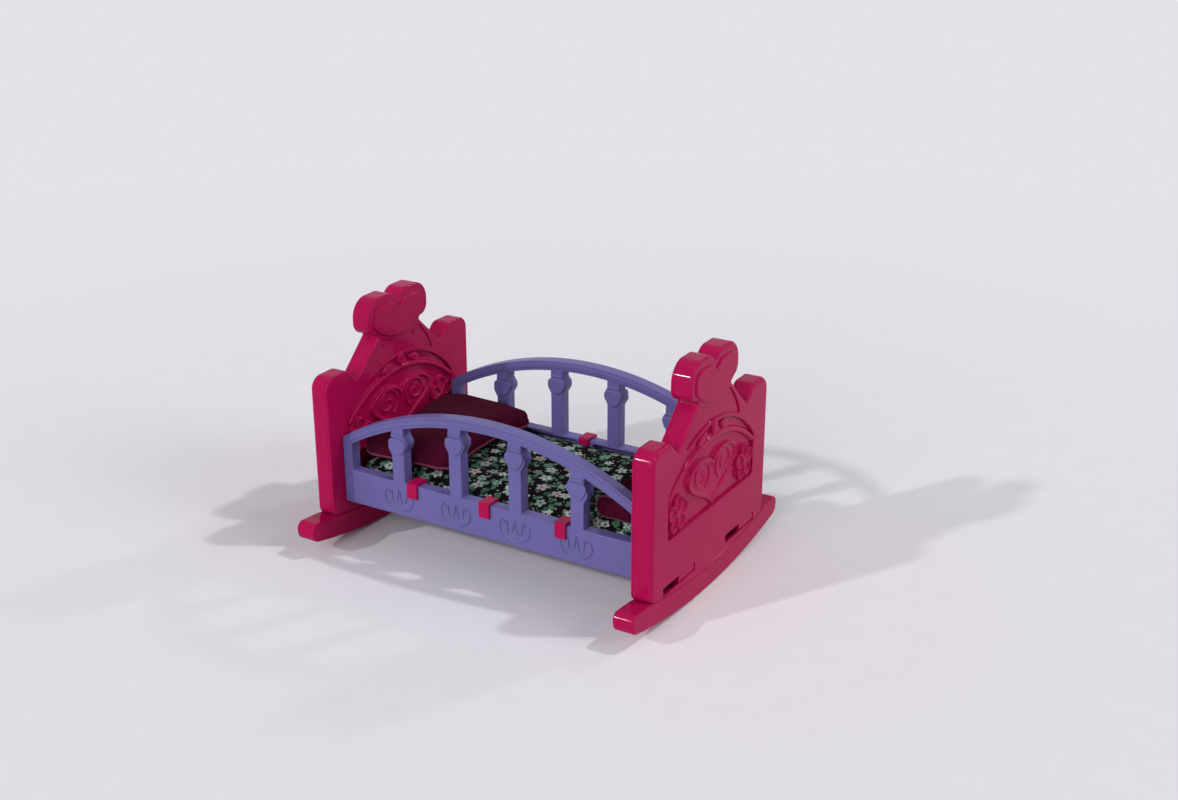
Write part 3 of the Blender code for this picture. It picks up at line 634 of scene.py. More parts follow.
def panel(relief):
    """The deep shell of the footboard, with slots for the rocker's hooks."""
    outline = panel_outline()
    depth = OUTER_FACE - PARTING - SEAM
    piece = slab("foot_panel", in_face(outline, PARTING + SEAM), (depth, 0, 0))
    hollow = trace("hollow", in_face(outline, PARTING))
    pick(hollow, "FACE", every)
    bpy.ops.mesh.inset(thickness=WALL)
    bpy.ops.mesh.select_all(action="INVERT")
    bpy.ops.mesh.delete(type="FACE")
    bpy.ops.mesh.select_all(action="SELECT")
    pull((0.0153, 0, 0))
    bpy.ops.mesh.delete_loose()
    face_out(hollow)
    round_rim(piece, outline, OUTER_FACE)
    low_hollow = block("low_hollow", (PARTING, -0.130, 0.052), (OUTER_FACE - WALL, 0.130, 0.093))
    step = block("step_hollow", (PARTING, -SLOT_FAR, 0.036), (OUTER_FACE - WALL, SLOT_FAR, 0.053))
    combine(piece, [hollow, low_hollow, step], "DIFFERENCE")
    sunk_face(piece, OUTER_FACE, 1, 0.0021)
    windows = []
    for hand in (-1, 1):
        near, far = sorted((hand * SLOT_NEAR, hand * SLOT_FAR))
        window = block("window", (0.2200, near, SLOT_SILL), (0.2300, far, SLOT_HEAD))
        round_edges(window, 0.0012, 3, lambda a, b: abs(a.x - b.x) > 0.005)
        windows.append(window)
        windows.append(block("passage", (0.2110, near, 0.020), (0.2226, far, SLOT_HEAD)))
    combine(piece, windows, "DIFFERENCE")

    def lip(a, b):
        middle = (a + b) / 2
        by_slot = 0.036 < middle.z < 0.048 and 0.036 < abs(middle.y) < 0.114
        return by_slot and both_at(a, b, OUTER_FACE)

    round_edges(piece, 0.0007, 2, lip)
    dress = copied(relief, "relief_set", (OUTER_FACE - FIELD_DEPTH, 0, 0))
    badge = placed(crown_badge(), "badge_set", (OUTER_FACE, 0, 0))
    bosses = []
    for place in PIN_PLACES:
        boss = rod("boss", place, 0.0037, PARTING + 0.0006, 0.2190)
        combine(boss, [rod("pilot", place, 0.0018, PARTING - 0.001, 0.2138)], "DIFFERENCE")
        bosses.append(boss)
    return smooth_off(joined("foot_panel", [piece, dress, badge] + bosses))


def cover(relief):
    """The flat shell that closes the footboard towards the bed."""
    outline = panel_outline()
    piece = slab("foot_panel_cover", in_face(outline, INNER_FACE), (PARTING - INNER_FACE, 0, 0))
    round_edges(piece, 0.0019, 4, beyond(0, INNER_FACE + CLOSE, -1))
    pan = slab("pan", in_face(field_outline(WALL), PARTING - 0.0010), (0.0042, 0, 0))
    combine(piece, [pan], "UNION")
    sunk_face(piece, INNER_FACE, -1, 0.0014)
    cutters = []
    for hand in (-1, 1):
        for low, high in ((0.0577, 0.0883), (0.1017, 0.1163)):
            middle = hand * RAIL_MIDDLE
            cutters.append(block("socket", (0.195, middle - 0.0043, low), (0.2125, middle + 0.0043, high)))
    for place in PIN_PLACES:
        cutters.append(rod("pin_seat", place, 0.0033, 0.195, INNER_FACE + 0.0018))
        cutters.append(rod("pin_hole", place, 0.0018, 0.195, 0.206))
    combine(piece, cutters, "DIFFERENCE")
    dress = copied(relief, "relief_back", (INNER_FACE + FIELD_DEPTH, 0, 0), math.pi)
    badge = placed(crown_badge(), "badge_back", (INNER_FACE, 0, 0), math.pi)
    return smooth_off(joined("foot_panel_cover", [piece, dress, badge]))


def rocker():
    """The footboard's rocker: a round sole, blunt upturned ends and two hooked tongues."""
    reach, heel = 0.1803, 0.165
    half = [(0, 0)] + [(SOLE_FLAT + (heel - SOLE_FLAT) * k / 20, 0) for k in range(21)]
    half = [(a, sole_height(a)) for a, b in half]
    top = ROCKER_DEPTH + sole_height(HALF_WIDTH)
    half = half[:-1] + rounded([
        half[-1] + (0,),
        (reach - 0.003, sole_height(heel) + 0.0033, 0.012),
        (reach, top + 0.0034, 0.0090),
        (HALF_WIDTH + 0.002, top + 0.0002, 0.02),
        (HALF_WIDTH - 0.004, ROCKER_DEPTH + sole_height(HALF_WIDTH - 0.004), 0),
    ], step=6)
    for k in range(1, 13):
        across = (HALF_WIDTH - 0.004) * (1 - k / 12)
        half.append((across, ROCKER_DEPTH + sole_height(across)))
    piece = slab("foot_rocker_arc", in_face(both_halves(half), INNER_FACE), (PANEL_THICK, 0, 0))
    round_edges(piece, 0.0021, 4, lambda a, b: abs(a.x - b.x) < CLOSE)
    for near in (-0.0746, 0.0754):
        tongue = block("tongue", (0.2120, near, 0.024), (0.2220, near + 0.036, 0.054))
        round_edges(tongue, 0.0012, 2, lambda a, b: a.z > 0.053 or b.z > 0.053)
        hook = block("hook", (0.2170, near, 0.0378), (0.2240, near + 0.036, 0.0466))
        round_edges(hook, 0.0010, 2, beyond(0, 0.223))
        combine(piece, [tongue, hook], "UNION")
    return smooth_off(piece)


def push_pin(place):
    """A split push pin with a domed head."""
    y, z = place
    head = rod("pin", place, 0.0030, INNER_FACE, INNER_FACE + 0.0017)
    round_edges(head, 0.0008, 3, beyond(0, INNER_FACE + CLOSE, -1))
    shank = rod("shank", place, 0.0015, INNER_FACE + 0.001, INNER_FACE + 0.0135)
    round_edges(shank, 0.0006, 2, beyond(0, 0.2134))
    combine(head, [shank], "UNION")
    slit = block("slit", (0.2065, y - 0.0004, z - 0.002), (0.2150, y + 0.0004, z + 0.002))
    mark = block(
        "mark", (0.1990, y - 0.0021, z - 0.0004), (INNER_FACE + 0.0006, y + 0.0021, z + 0.0004))
    combine(head, [slit, mark], "DIFFERENCE")
    return smooth_off(head)


# Side rails

def arch_under(along):
    """Height of the arched underside of a rail's top bar."""
    return ARCH_CENTRE + math.sqrt(ARCH_RADIUS**2 - along**2)


def spindle_side(middle, hand):
    """One side of a spindle, from the skirt up: a straight shaft and a bulb-shaped collar."""
    foot = middle + hand * SPINDLE_HALF
    top = arch_under(foot)
    points = [(foot, SKIRT_TOP)]
    for k in range(15):
        share = k / 14
        swell = math.sin(math.pi * min(1.0, share / 0.86)) ** 1.4
        neck = 0.0080 + 0.0010 * (share > 0.9)
        width = SPINDLE_HALF + 0.0050 * swell if share < 0.86 else neck
        points.append((middle + hand * width, top - 0.0305 + 0.0265 * share))
    points.append((foot, top))
    return points


def rail_gaps():
    """The openings between the stiles and the spindles."""
    lefts = [[(-STILE_IN, SKIRT_TOP)]] + [spindle_side(at, 1) for at in SPINDLES]
    rights = [spindle_side(at, -1) for at in SPINDLES] + [[(STILE_IN, SKIRT_TOP)]]
    gaps = []
    for left, right in zip(lefts, rights):
        west, east = left[-1][0], right[-1][0]
        places = [east + (west - east) * k / 10 for k in range(11)]
        head = [(at, arch_under(at)) for at in places]
        if right[-1][1] > SKIRT_TOP:
            head = head[1:]
        if left[-1][1] > SKIRT_TOP:
            head = head[:-1]
        gaps.append(right + head + list(reversed(left)))
    return gaps


def motif_lines(at):
    """The incised flower under a spindle: a curled cup and the pointed petals in it."""
    cup = []
    for k in range(31):
        turn = math.radians(-205 + 230 * k / 30)
        cup.append((at + 0.0200 * math.cos(turn), 0.0735 + 0.0160 * math.sin(turn)))
    for hand in (1, -1):
        curl = []
        for k in range(1, 9):
            turn = math.radians(25 + 24 * k)
            reach = 0.0030 * (1 - 0.03 * k)
            curl.append((hand * (0.0154 + reach * math.cos(turn)), 0.0800 + reach * math.sin(turn)))
        curl = [(at + a, b) for a, b in curl]
        cup = cup + curl if hand > 0 else list(reversed(curl)) + cup
    lines = [cup]
    for hand in (-1, 1):
        lines.append(curve_through([(at + hand * a, b) for a, b in (
            (0.0098, 0.0818), (0.0104, 0.0756), (0.0088, 0.0692), (0.0056, 0.0672), (0.0029, 0.0708),
            (0.0014, 0.0775), (0.0003, 0.0845))], 4))
    return lines


def side_rail():
    """The near rail: skirt, stiles, spindles with collars, arched bar, tenons and a ribbed back."""
    outer = ARCH_RADIUS + ARCH_BAND
    start = math.acos(RAIL_END / outer)
    half = [(0, RAIL_BOTTOM), (RAIL_END, RAIL_BOTTOM)]
    half += arc((0, ARCH_CENTRE), outer, start, math.pi / 2, 30)
    piece = slab("near_rail", in_side(both_halves(half), -RAIL_OUT), (0, 0.015, 0))
    cutters = [slab("gap", in_side(gap, -0.120), (0, 0.022, 0)) for gap in rail_gaps()]
    combine(piece, cutters, "DIFFERENCE")
    modify(piece, "BEVEL", width=0.0012, segments=3, limit_method="ANGLE",
           angle_limit=math.radians(38), use_clamp_overlap=False)
    pockets = []
    ribs = [-STILE_IN] + [at + RIB_HALF for at in BARS]
    ends = [at - RIB_HALF for at in BARS] + [STILE_IN]
    for west, east in zip(ribs, ends):
        pocket = block("pocket", (west, -0.114, 0.055), (east, -0.099, 0.091))
        round_edges(pocket, 0.0025, 3, lambda a, b: abs(a.y - b.y) > 0.005)
        pockets.append(pocket)
    combine(piece, pockets, "DIFFERENCE")
    grooves = []
    for at in SPINDLES:
        for line in motif_lines(at):
            grooves.append(roll_bead("groove", in_side(line, -RAIL_OUT + 0.0001), 0.0010, sides=1))
    combine(piece, grooves, "DIFFERENCE")
    face_out(piece)
    faces = ((-RAIL_OUT, -1), (-RAIL_IN, 1))
    parts = [piece] + [collar(at, level, way) for at in SPINDLES for level, way in faces]
    parts += [arch_lip(level, way) for level, way in faces]
    for hand in (-1, 1):
        for low, high in ((0.058, 0.088), (0.102, 0.116)):
            near, far = sorted((hand * 0.1935, hand * 0.2120))
            tenon = block("tenon", (near, -0.113, low), (far, -0.105, high))
            round_edges(tenon, 0.0010, 2, lambda a, b: abs(a.x) > 0.211 and abs(b.x) > 0.211)
            parts.append(tenon)
    return smooth_off(joined("near_rail", parts))


def collar(at, level, way):
    """The raised shield and ring on a spindle's collar."""
    top = arch_under(at) - 0.0048
    half = curve_through([
        (0.0, -0.0262), (0.0048, -0.0245), (0.0088, -0.0205), (0.0116, -0.0150), (0.0121, -0.0100),
        (0.0098, -0.0066), (0.0060, -0.0056), (0.0, -0.0054)], 5)
    ring_half = rounded([
        (0.0, -0.0040, 0), (0.0083, -0.0040, 0.0014), (0.0083, -0.0006, 0.0014), (0.0, -0.0006, 0)],
        step=20)
    parts = []
    for points, height in ((half, 0.0026), (ring_half, 0.0018)):
        outline = [(at + a, top + b) for a, b in both_halves(points)]
        piece = slab("collar", in_side(outline, level - way * 0.0006), (0, way * height, 0))
        round_edges(piece, height * 0.62, 4, beyond(1, level + way * (height - 0.0007), way))
        parts.append(piece)
    return joined("collar", parts)


def arch_lip(level, way):
    """The raised lip that runs along the arched bar."""
    reach = ARCH_RADIUS + 0.0036
    outer = ARCH_RADIUS + 0.0094
    inner_turn = math.acos(LIP_END / reach)
    outer_turn = math.acos(LIP_END / outer)
    low = arc((0, ARCH_CENTRE), reach, math.pi - inner_turn, inner_turn, 48)
    high = arc((0, ARCH_CENTRE), outer, outer_turn, math.pi - outer_turn, 48)
    piece = slab("lip", in_side(low + high, level - way * 0.0006), (0, way * 0.0017, 0))
    round_edges(piece, 0.0010, 3, beyond(1, level + way * 0.0010, way))
    return piece


def cross_bar():
    """The middle bar: a strap under the bed whose ends hook over the rails' skirts."""
    half = rounded([
        (0, 0.0575, 0), (0.1012, 0.0575, 0.0036), (0.1012, 0.0943, 0), (0.1168, 0.0943, 0),
        (0.1168, 0.0788, 0), (0.1198, 0.0788, 0), (0.1198, 0.0973, 0.0024), (0.0982, 0.0973, 0.0024),
        (0.0982, 0.0605, 0), (0, 0.0605, 0)], step=15)
    piece = slab("middle_hook_bar", in_face(both_halves(half), -0.007), (0.014, 0, 0))
    round_edges(piece, 0.0005, 2, lambda a, b: abs(a.x - b.x) < CLOSE)
    rib = block("rib", (-0.0015, -0.096, 0.0515), (0.0015, 0.096, 0.0590))
    round_edges(rib, 0.0007, 2, beyond(2, 0.052, -1))
    combine(piece, [rib], "UNION")
    return smooth_off(piece)


# Bedding

def bag(name, low, high, corner, edge):
    """The start of a cushion: a block with round corners and soft edges, cut a little small."""
    piece = block(name, low, high)
    round_edges(piece, corner, 5, lambda a, b: abs(a.z - b.z) > 0.001)
    round_edges(piece, edge, 3, lambda a, b: abs(a.z - b.z) < CLOSE)
    return piece


def stuff(piece, voxel, pressure, cap, frames=20):
    """Fill a bag by simulating its cloth under pressure, and hold how far it swells."""
    modify(piece, "REMESH", mode="VOXEL", voxel_size=voxel)
    start = [point.co.copy() for point in piece.data.vertices]
    only(piece)
    bpy.ops.object.modifier_add(type="CLOTH")
    cloth = piece.modifiers[-1]
    cloth.settings.quality = 6
    cloth.settings.mass = 0.15
    cloth.settings.tension_stiffness = 12
    cloth.settings.compression_stiffness = 6
    cloth.settings.bending_stiffness = 0.25
    cloth.settings.use_pressure = True
    cloth.settings.uniform_pressure_force = pressure
    cloth.settings.effector_weights.gravity = 0
    scene = bpy.context.scene
    for step in range(1, frames + 1):
        scene.frame_set(step)
    bpy.ops.object.modifier_apply(modifier=cloth.name)
    scene.frame_set(1)
    for point, before in zip(piece.data.vertices, start):
        way = point.co - before
        if way.length > cap:
            point.co = before + way * (cap / way.length)


def fit_to(piece, low, high):
    """Stretch a shape evenly so that it fills the space from one corner to the other."""
    spots = [point.co for point in piece.data.vertices]
    least = [min(spot[k] for spot in spots) for k in range(3)]
    most = [max(spot[k] for spot in spots) for k in range(3)]
    for spot in spots:
        for k in range(3):
            spot[k] = low[k] + (high[k] - low[k]) * (spot[k] - least[k]) / (most[k] - least[k])


def settle(piece, low, high, sink):
    """Bring a stuffed bag to its space, with its underside pressed flat on what it lies on."""
    fit_to(piece, (low[0], low[1], low[2] - sink), high)
    for point in piece.data.vertices:
        point.co.z = max(point.co.z, low[2])
    modify(piece, "SUBSURF", levels=1, render_levels=1)
    fit_to(piece, low, high)
    soften(piece)


def ring(low, high, corner, height, steps=7):
    """Points round a cushion's plan, at one height."""
    west, east, south, north = low[0], high[0], low[1], high[1]
    middle = (west + east) / 2
    half = rounded([
        (0, south, 0), (east - middle, south, corner), (east - middle, north, corner), (0, north, 0)],
        step=steps)
    run = []
    for here, after in zip(half, half[1:]):
        pieces = max(1, round((Vector(after) - Vector(here)).length / 0.004))
        for k in range(pieces):
            run.append(Vector(here).lerp(Vector(after), k / pieces))
    run.append(Vector(half[-1]))
    right = [(middle + p.x, p.y, height) for p in run]
    left = [(middle - p.x, p.y, height) for p in reversed(run) if p.x > CLOSE]
    return [Vector(p) for p in right + left]


def end_ring(low, high, corner, across):
    """Points round a cushion's end, standing across the cradle at one place."""
    turned = ring((low[0], low[2]), (high[0], high[2]), corner, across)
    return [Vector((p.x, across, p.y)) for p in turned]


def piping(name, cushion, points, radius):
    """A cord of piping sewn along a seam, pressed on to the cushion's surface."""
    wire = trace("seam", points, closed=False)
    modify(wire, "SHRINKWRAP", target=cushion, wrap_method="NEAREST_SURFACEPOINT", offset=radius * 0.2)
    run = [point.co.copy() for point in wire.data.vertices]
    bpy.data.objects.remove(wire)
    return roll_bead(name, run, radius, closed=True, sides=3)


def lay_print(piece):
    """Lay the cloth's print flat on each panel of a cushion, in metres."""
    pick(piece, "FACE", every)
    bpy.ops.uv.cube_project(
        cube_size=1.0, correct_aspect=False, clip_to_bounds=False, scale_to_bounds=False)
    leave_edit()


# Finishes

class Thread:
    """A socket of a finish. Sums on it are written plainly, and node() adds any other step."""

    def __init__(self, tree, socket):
        self.tree = tree
        self.socket = socket

    def node(self, kind, settings=None, sockets=None, out=0):
        made = self.tree.nodes.new("ShaderNode" + kind)
        settings = dict(settings or {})
        stops = settings.pop("stops", None)
        for name, value in settings.items():
            setattr(made, name, value)
        if stops:
            ramp = made.color_ramp.elements
            while len(ramp) < len(stops):
                ramp.new(1.0)
            for element, (place, colour) in zip(ramp, stops):
                element.position = place
                element.color = (*colour, 1)
        for name, value in (sockets or {}).items():
            if isinstance(value, Thread):
                self.tree.links.new(value.socket, made.inputs[name])
            else:
                made.inputs[name].default_value = value
        return Thread(self.tree, made.outputs[out])

    def sum(self, operation, first, second=0.0, held=False):
        return self.node("Math", {"operation": operation, "use_clamp": held}, {0: first, 1: second})

    def held(self):
        """The value kept between 0 and 1."""
        return self.sum("ADD", self, 0.0, held=True)

    def wave(self):
        return self.sum("SINE", self)

    def size(self):
        return self.sum("ABSOLUTE", self)

    def mixed(self, first, second):
        """Two colours mixed by this value."""
        return self.node("Mix", {"data_type": "RGBA"}, {0: self, 6: first, 7: second}, out=2)

    def parts(self):
        """The X, Y and Z of a vector."""
        first = self.node("SeparateXYZ", {}, {0: self})
        node = first.socket.node
        return [Thread(self.tree, node.outputs[k]) for k in range(3)]

    def noise(self, scale, detail=2.0, roughness=0.5):
        return self.node("TexNoise", {}, {
            "Vector": self, "Scale": scale, "Detail": detail, "Roughness": roughness})

    def bump(self, strength, distance):
        """The surface direction for a skin of this height."""
        return self.node("Bump", {}, {"Strength": strength, "Distance": distance, "Height": self})

    def yarns(self, pitch):
        """Crossing yarns, from a thread of coordinates."""
        along, across, _ = self.parts()
        turn = math.tau / pitch
        return (along * turn).wave().size() * 0.5 + (across * turn).wave().size() * 0.5


# The plain signs of sums, with the thread on either side
for sign, operation in (
        ("add", "ADD"), ("sub", "SUBTRACT"), ("mul", "MULTIPLY"), ("truediv", "DIVIDE"), ("pow", "POWER")):
    setattr(Thread, f"__{sign}__", lambda self, other, way=operation: self.sum(way, self, other))
    setattr(Thread, f"__r{sign}__", lambda self, other, way=operation: self.sum(way, other, self))


def linear(red, green, blue):
    """A colour from its 0 to 255 screen values."""
    shares = (red / 255, green / 255, blue / 255)
    return tuple(c / 12.92 if c < 10 / 255 else ((c + 0.055) / 1.055) ** 2.4 for c in shares) + (1,)


def new_finish(name, coordinates="Object"):
    """A finish with one shader, and the thread of the coordinates that its pattern reads."""
    made = bpy.data.materials.new(name)
    made.use_nodes = True
    tree = made.node_tree
    shader = tree.nodes["Principled BSDF"]
    place = tree.nodes.new("ShaderNodeTexCoord")
    return made, shader, Thread(tree, place.outputs[coordinates])


def set_shader(shader, **values):
    """Set or link the shader's sockets, named with _ for a space."""
    for name, value in values.items():
        socket = shader.inputs[name.replace("_", " ")]
        if isinstance(value, Thread):
            value.tree.links.new(value.socket, socket)
        else:
            socket.default_value = value


def moulded(name, colour, deep, gloss, shine):
    """Moulded plastic: flow marks in the colour, a faint orange-peel skin and fine rubbed streaks."""
    made, shader, place = new_finish(name)
    flow = place.noise(14, 3, 0.6)
    clouds = place.noise(55, 4, 0.6)
    tint = ((flow - 0.5) * 1.3 + (clouds - 0.5) * 0.5 + 0.5).held()
    streaked = place.node("Mapping", {}, {"Vector": place, "Scale": (26, 90, 420)})
    streaks = streaked.noise(1.6, 3, 0.7)
    rubbed = ((streaks - 0.62) * 5).held()
    specks = place.noise(900, 2, 0.6)
    skin = place.noise(240, 2, 0.5)
    rough = gloss * (1 + (clouds - 0.5) * 0.6 + rubbed * 0.5 + (specks - 0.5) * 0.3)
    bump = (skin * 0.6 + specks * 0.25 + flow * 1.5).bump(0.08, 0.0005)
    set_shader(shader, Base_Color=tint.mixed(deep, colour), Roughness=rough, Normal=bump,
               Specular_IOR_Level=shine, IOR=1.49)
    return made


def set_cloth(shader, tint, rough, bump):
    """Soft cloth: no shine, and a faint sheen."""
    set_shader(shader, Base_Color=tint, Roughness=rough, Normal=bump, Sheen_Weight=0.015,
               Sheen_Roughness=0.5, Specular_IOR_Level=0.0)


def woven(name, colour, deep, pitch):
    """Plain maroon cloth: crossing yarns, slubs and a soft sheen."""
    made, shader, place = new_finish(name, "UV")
    yarn = place.yarns(pitch)
    slubs = place.node("Mapping", {}, {"Vector": place, "Scale": (160, 900, 1)}).noise(1.0, 2, 0.6)
    worn = place.noise(38, 4, 0.6)
    fuzz = place.noise(2600, 2, 0.7)
    tint = (yarn * 0.35 + slubs * 0.35 + worn * 0.55 - 0.18).held()
    bump = (yarn * 0.7 + slubs * 0.4 + fuzz * 0.3).bump(0.6, 0.0006)
    set_cloth(shader, tint.mixed(deep, colour), 0.82 + (fuzz - 0.5) * 0.2, bump)
    return made


def blossoms(place, spacing, reach, petals, seed):
    """Scattered blooms: how far a point is inside a bloom, inside its eye, and the bloom's number."""
    shifted = place.node("VectorMath", {"operation": "ADD"}, {0: place, 1: (seed, seed * 0.37, 0)})
    cells = shifted.node("TexVoronoi", {"voronoi_dimensions": "2D"}, {
        "Vector": shifted, "Scale": 1 / spacing, "Randomness": 0.85}, out=1)
    node = cells.socket.node
    middle = Thread(place.tree, node.outputs["Position"])
    offset = shifted.node("VectorMath", {"operation": "SUBTRACT"}, {0: shifted, 1: middle})
    x, y, _ = offset.parts()
    radius = (x * x + y * y) ** 0.5
    turn = x.sum("ARCTAN2", y, x)
    luck, chance, _ = cells.parts()
    angle = (turn + luck * 6.28) * (petals / 2)
    lobes = angle.sum("COSINE", angle).size()
    edge = reach * (0.5 + 0.5 * lobes) * (0.75 + 0.4 * chance)
    inside = ((edge - radius) / (reach * 0.10)).held()
    eye = ((reach * 0.24 - radius) / (reach * 0.08)).held()
    return inside, eye, luck


def printed(name):
    """Cotton with small pale flowers and leaves scattered on a near-black ground."""
    made, shader, place = new_finish(name, "UV")
    ground = linear(20, 16, 22)
    wobble = place.noise(160, 2, 0.6)
    bend = place.node("VectorMath", {"operation": "SCALE"}, {0: wobble, "Scale": 0.004})
    moved_place = place.node("VectorMath", {"operation": "ADD"}, {0: place, 1: bend})
    leaves, _, leaf_luck = blossoms(moved_place, 0.0140, 0.0052, 2, 3.1)
    green = leaf_luck.node("ValToRGB", {"stops": (
        (0.0, linear(58, 96, 66)[:3]), (0.5, linear(88, 128, 108)[:3]), (1.0, linear(40, 74, 60)[:3]))},
        {0: leaf_luck})
    blooms, eyes, luck = blossoms(moved_place, 0.0230, 0.0074, 5, 0.7)
    pale = luck.node("ValToRGB", {"stops": (
        (0.0, linear(204, 204, 194)[:3]), (0.45, linear(176, 194, 188)[:3]), (0.7, linear(108, 152, 144)[:3]),
        (1.0, linear(190, 172, 170)[:3]))}, {0: luck})
    small = blossoms(moved_place, 0.0105, 0.0014, 4, 8.3)[0]
    colour = leaves.mixed(ground, green)
    colour = small.mixed(colour, linear(176, 178, 172))
    colour = blooms.mixed(colour, pale)
    colour = eyes.mixed(colour, linear(96, 36, 52))
    yarn = place.yarns(0.0009)
    fade = place.noise(60, 3, 0.6)
    shade = (0.72 + 0.28 * yarn + (fade - 0.5) * 0.3).held()
    bump = (yarn + fade * 0.6).bump(0.5, 0.0004)
    set_cloth(shader, shade.mixed((0.004, 0.004, 0.005, 1), colour), 0.78 + (fade - 0.5) * 0.2, bump)
    return made


PALE = linear(229, 226, 232)


def looked_at(tree):
    """Whether a ray comes straight from the camera, or by way of a shiny or a clear surface."""
    path = tree.nodes.new("ShaderNodeLightPath")
    ways = [Thread(tree, path.outputs["Is %s Ray" % way]) for way in ("Camera", "Glossy", "Transmission")]
    return (ways[0] + ways[1] + ways[2]).held()


def studio_floor():
    """Pale paper that keeps the shadows near the cradle and fades to plain paleness further off."""
    made, shader, place = new_finish("pale_paper")
    grain = place.noise(30, 3, 0.6)
    set_shader(shader, Base_Color=grain.mixed(linear(226, 223, 229), linear(231, 228, 234)), Roughness=0.9,
               Specular_IOR_Level=0.1)
    x, y, _ = place.parts()
    far = ((((x * x + y * y) ** 0.5) - 0.45) / 1.6).held()
    seen = looked_at(place.tree)
    glow = place.node("Emission", {}, {"Color": PALE, "Strength": 1.0})
    body = Thread(place.tree, shader.outputs["BSDF"])
    mixed = place.node("MixShader", {}, {0: far * far * (3 - 2 * far) * seen, 1: body, 2: glow})
    place.tree.links.new(mixed.socket, place.tree.nodes["Material Output"].inputs["Surface"])
    return made


def studio_air():
    """Even light from all round, with the floor's paleness behind the cradle."""
    made = bpy.data.worlds.new("studio")
    made.use_nodes = True
    tree = made.node_tree
    light = tree.nodes["Background"]
    light.inputs["Color"].default_value = (0.96, 0.96, 1.0, 1)
    light.inputs["Strength"].default_value = 0.25
    start = looked_at(tree)
    backdrop = start.node("Background", {}, {"Color": PALE, "Strength": 1.0})
    mixed = start.node("MixShader", {}, {0: start, 1: Thread(tree, light.outputs[0]), 2: backdrop})
    tree.links.new(mixed.socket, tree.nodes["World Output"].inputs["Surface"])
    return made


def sun(name, place, energy, spread):
    """A far lamp that shines from a place on to the cradle."""
    clear_selection()
    bpy.ops.object.light_add(type="SUN", location=place)
    made = bpy.context.object
    made.name = name
    made.rotation_euler = (-Vector(place)).to_track_quat("-Z", "Y").to_euler()
    made.data.energy = energy
    made.data.angle = math.radians(spread)


# Make the finishes

pink = moulded("pink_plastic", linear(168, 15, 77), linear(154, 10, 67), 0.085, 0.07)
violet = moulded("violet_plastic", linear(101, 95, 152), linear(93, 87, 143), 0.33, 0.20)
maroon = woven("maroon_cloth", linear(84, 16, 44), linear(44, 7, 24), 0.0011)
trim = woven("maroon_piping", linear(128, 66, 90), linear(86, 34, 58), 0.0011)
floral = printed("floral_cotton")

# Make the ends

relief = field_relief()
foot_parts = (panel(relief), cover(relief), rocker())
bpy.data.objects.remove(relief)
head_parts = [copied(part, part.name.replace("foot", "head"), turn=math.pi) for part in foot_parts]
for end, parts in (("foot", foot_parts), ("head", head_parts)):
    for part, role in zip(parts, ("outer_shell", "inner_shell", "rocker")):
        stand_for(part, "frame", "pink_plastic", pink, f"{end}_{role}")
first_pin = push_pin(PIN_PLACES[0])
for end, turn in (("foot", 0.0), ("head", math.pi)):
    for k, place in enumerate(PIN_PLACES):
        shift = Vector((0, place[0] - PIN_PLACES[0][0], place[1] - PIN_PLACES[0][1]))
        pin = copied(first_pin, f"{end}_pin_{k + 1}", Matrix.Rotation(turn, 3, "Z") @ shift, turn)
        stand_for(pin, "frame", "pink_plastic", pink, f"{end}_push_pin_{k + 1}")
bpy.data.objects.remove(first_pin)

# Make the rails and bars

near_rail = side_rail()
far_rail = copied(near_rail, "far_rail", turn=math.pi)
stand_for(near_rail, "frame", "violet_plastic", violet, "near_side_rail")
stand_for(far_rail, "frame", "violet_plastic", violet, "far_side_rail")
middle_bar = cross_bar()
for name, at in (("head", BARS[0]), ("foot", BARS[2])):
    bar = copied(middle_bar, name + "_hook_bar", (at, 0, 0))
    stand_for(bar, "frame", "pink_plastic", pink, name + "_cross_bar")
stand_for(middle_bar, "frame", "pink_plastic", pink, "middle_cross_bar")
board = frame["nodes"]["bed_base"]
board.data.materials.clear()
board.data.materials.append(violet)

# Make the bedding

mattress_low, mattress_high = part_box("mattress")
mattress = bag("mattress_pad", mattress_low + Vector((0.002, 0.002, 0.001)),
               mattress_high - Vector((0.002, 0.002, 0.004)), 0.014, 0.008)
stuff(mattress, 0.006, 4.0, 0.005)
settle(mattress, mattress_low, mattress_high, 0.002)
seams = [piping("seam", mattress, ring(mattress_low, mattress_high, 0.012, mattress_low.z + up), 0.0014)
         for up in (0.005, 0.0275)]
mattress = joined("mattress_pad", [mattress] + seams)
soften(mattress)
lay_print(mattress)
stand_for(mattress, "mattress", "floral_cotton", floral, "mattress")

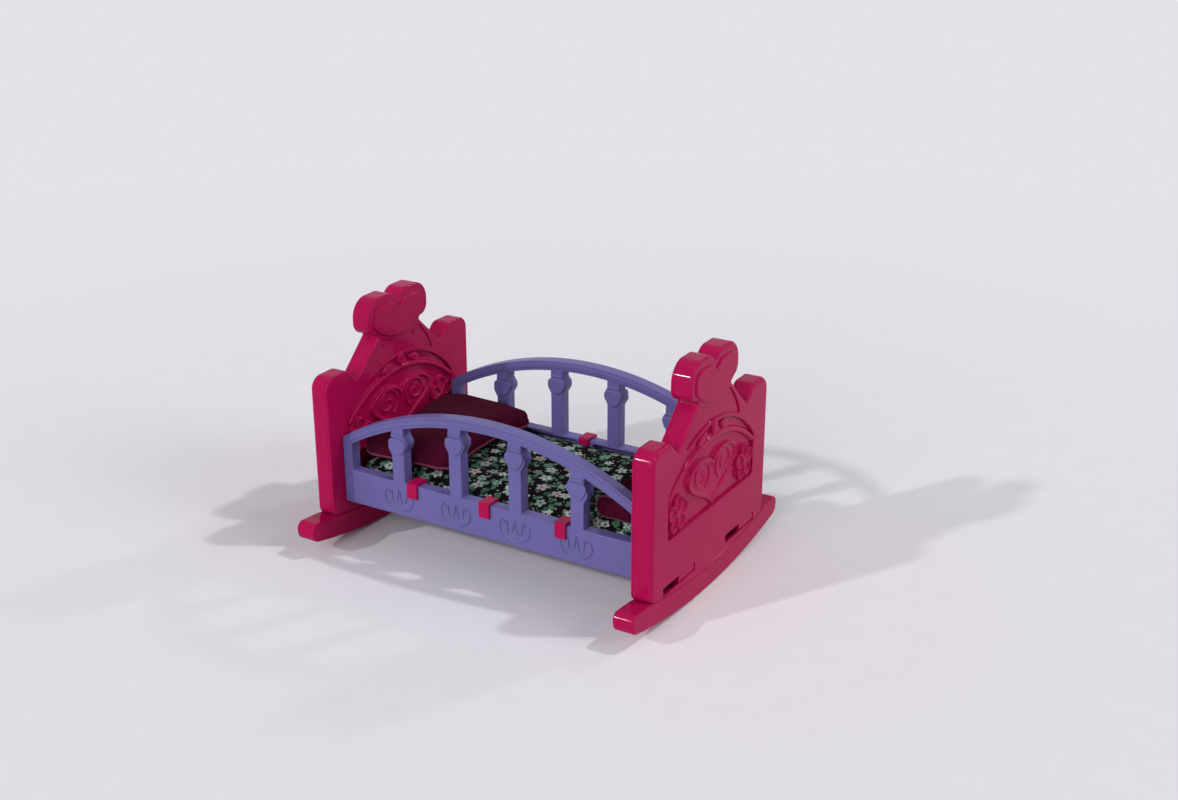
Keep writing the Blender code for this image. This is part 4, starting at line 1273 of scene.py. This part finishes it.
for name, node, corner, edge, swell in (
        ("pillow_bag", "pillow", 0.020, 0.005, 0.010),
        ("bolster_pad", "foot_bolster", 0.009, 0.008, 0.005)):
    low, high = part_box(node)
    spread = Vector((0, BEDDING_SPREAD, 0))
    low, high = low - spread, high + spread
    if node == "foot_bolster":
        low = low - Vector((BEDDING_SPREAD, 0, 0))
    cushion = bag(name, low + Vector((0.003, 0.003, 0.002)), high - Vector((0.003, 0.003, 0.006)),
                  corner, edge)
    stuff(cushion, 0.005, 4.5, swell)
    settle(cushion, low, high, 0.003)
    if node == "pillow":
        seam = ring(low, high, corner, low.z + (high.z - low.z) * 0.30)
        edging = piping(name + "_piping", cushion, seam, PIPING_RADIUS)
    else:
        ends = [piping("end_piping", cushion, end_ring(low, high, corner, at), PIPING_RADIUS)
                for at in (low.y + 0.006, high.y - 0.006)]
        edging = joined(name + "_piping", ends)
    lay_print(cushion)
    lay_print(edging)
    soften(edging)
    edging.data.materials.append(trim)
    stand_for(cushion, node, "maroon_cloth", maroon, node)
    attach(edging, "pillow" if node == "pillow" else "foot_bolster")

# Floor, lamps and camera

clear_selection()
bpy.ops.mesh.primitive_plane_add(size=40)
floor = bpy.context.object
floor.name = "floor"
floor.data.materials.append(studio_floor())
bpy.context.scene.world = studio_air()

for name, place, energy, spread in (
        ("front_light", (0.10, -1.30, 0.60), 1.4, 35),
        ("side_light", (1.30, 0.15, 0.65), 0.8, 30),
        ("left_glint", (-0.43, -0.747, 0.493), 1.0, 2.5),
        ("right_glint", (0.50, 0.28, 0.81), 0.8, 2.5),
        ("back_glint", (0.39, 0.77, 0.50), 0.3, 4)):
    sun(name, place, energy, spread)

clear_selection()
bpy.ops.object.camera_add(
    location=(0.92104, -1.44181, 0.85181),
    rotation=(math.radians(90 - 21.42138), 0, math.radians(30.66026)))
camera = bpy.context.object
camera.data.sensor_width = 36
camera.data.lens = 48.44
camera.data.clip_start = 0.05
camera.data.clip_end = 100
bpy.context.scene.camera = camera

bpy.context.scene.view_settings.view_transform = "Standard"
clear_selection()
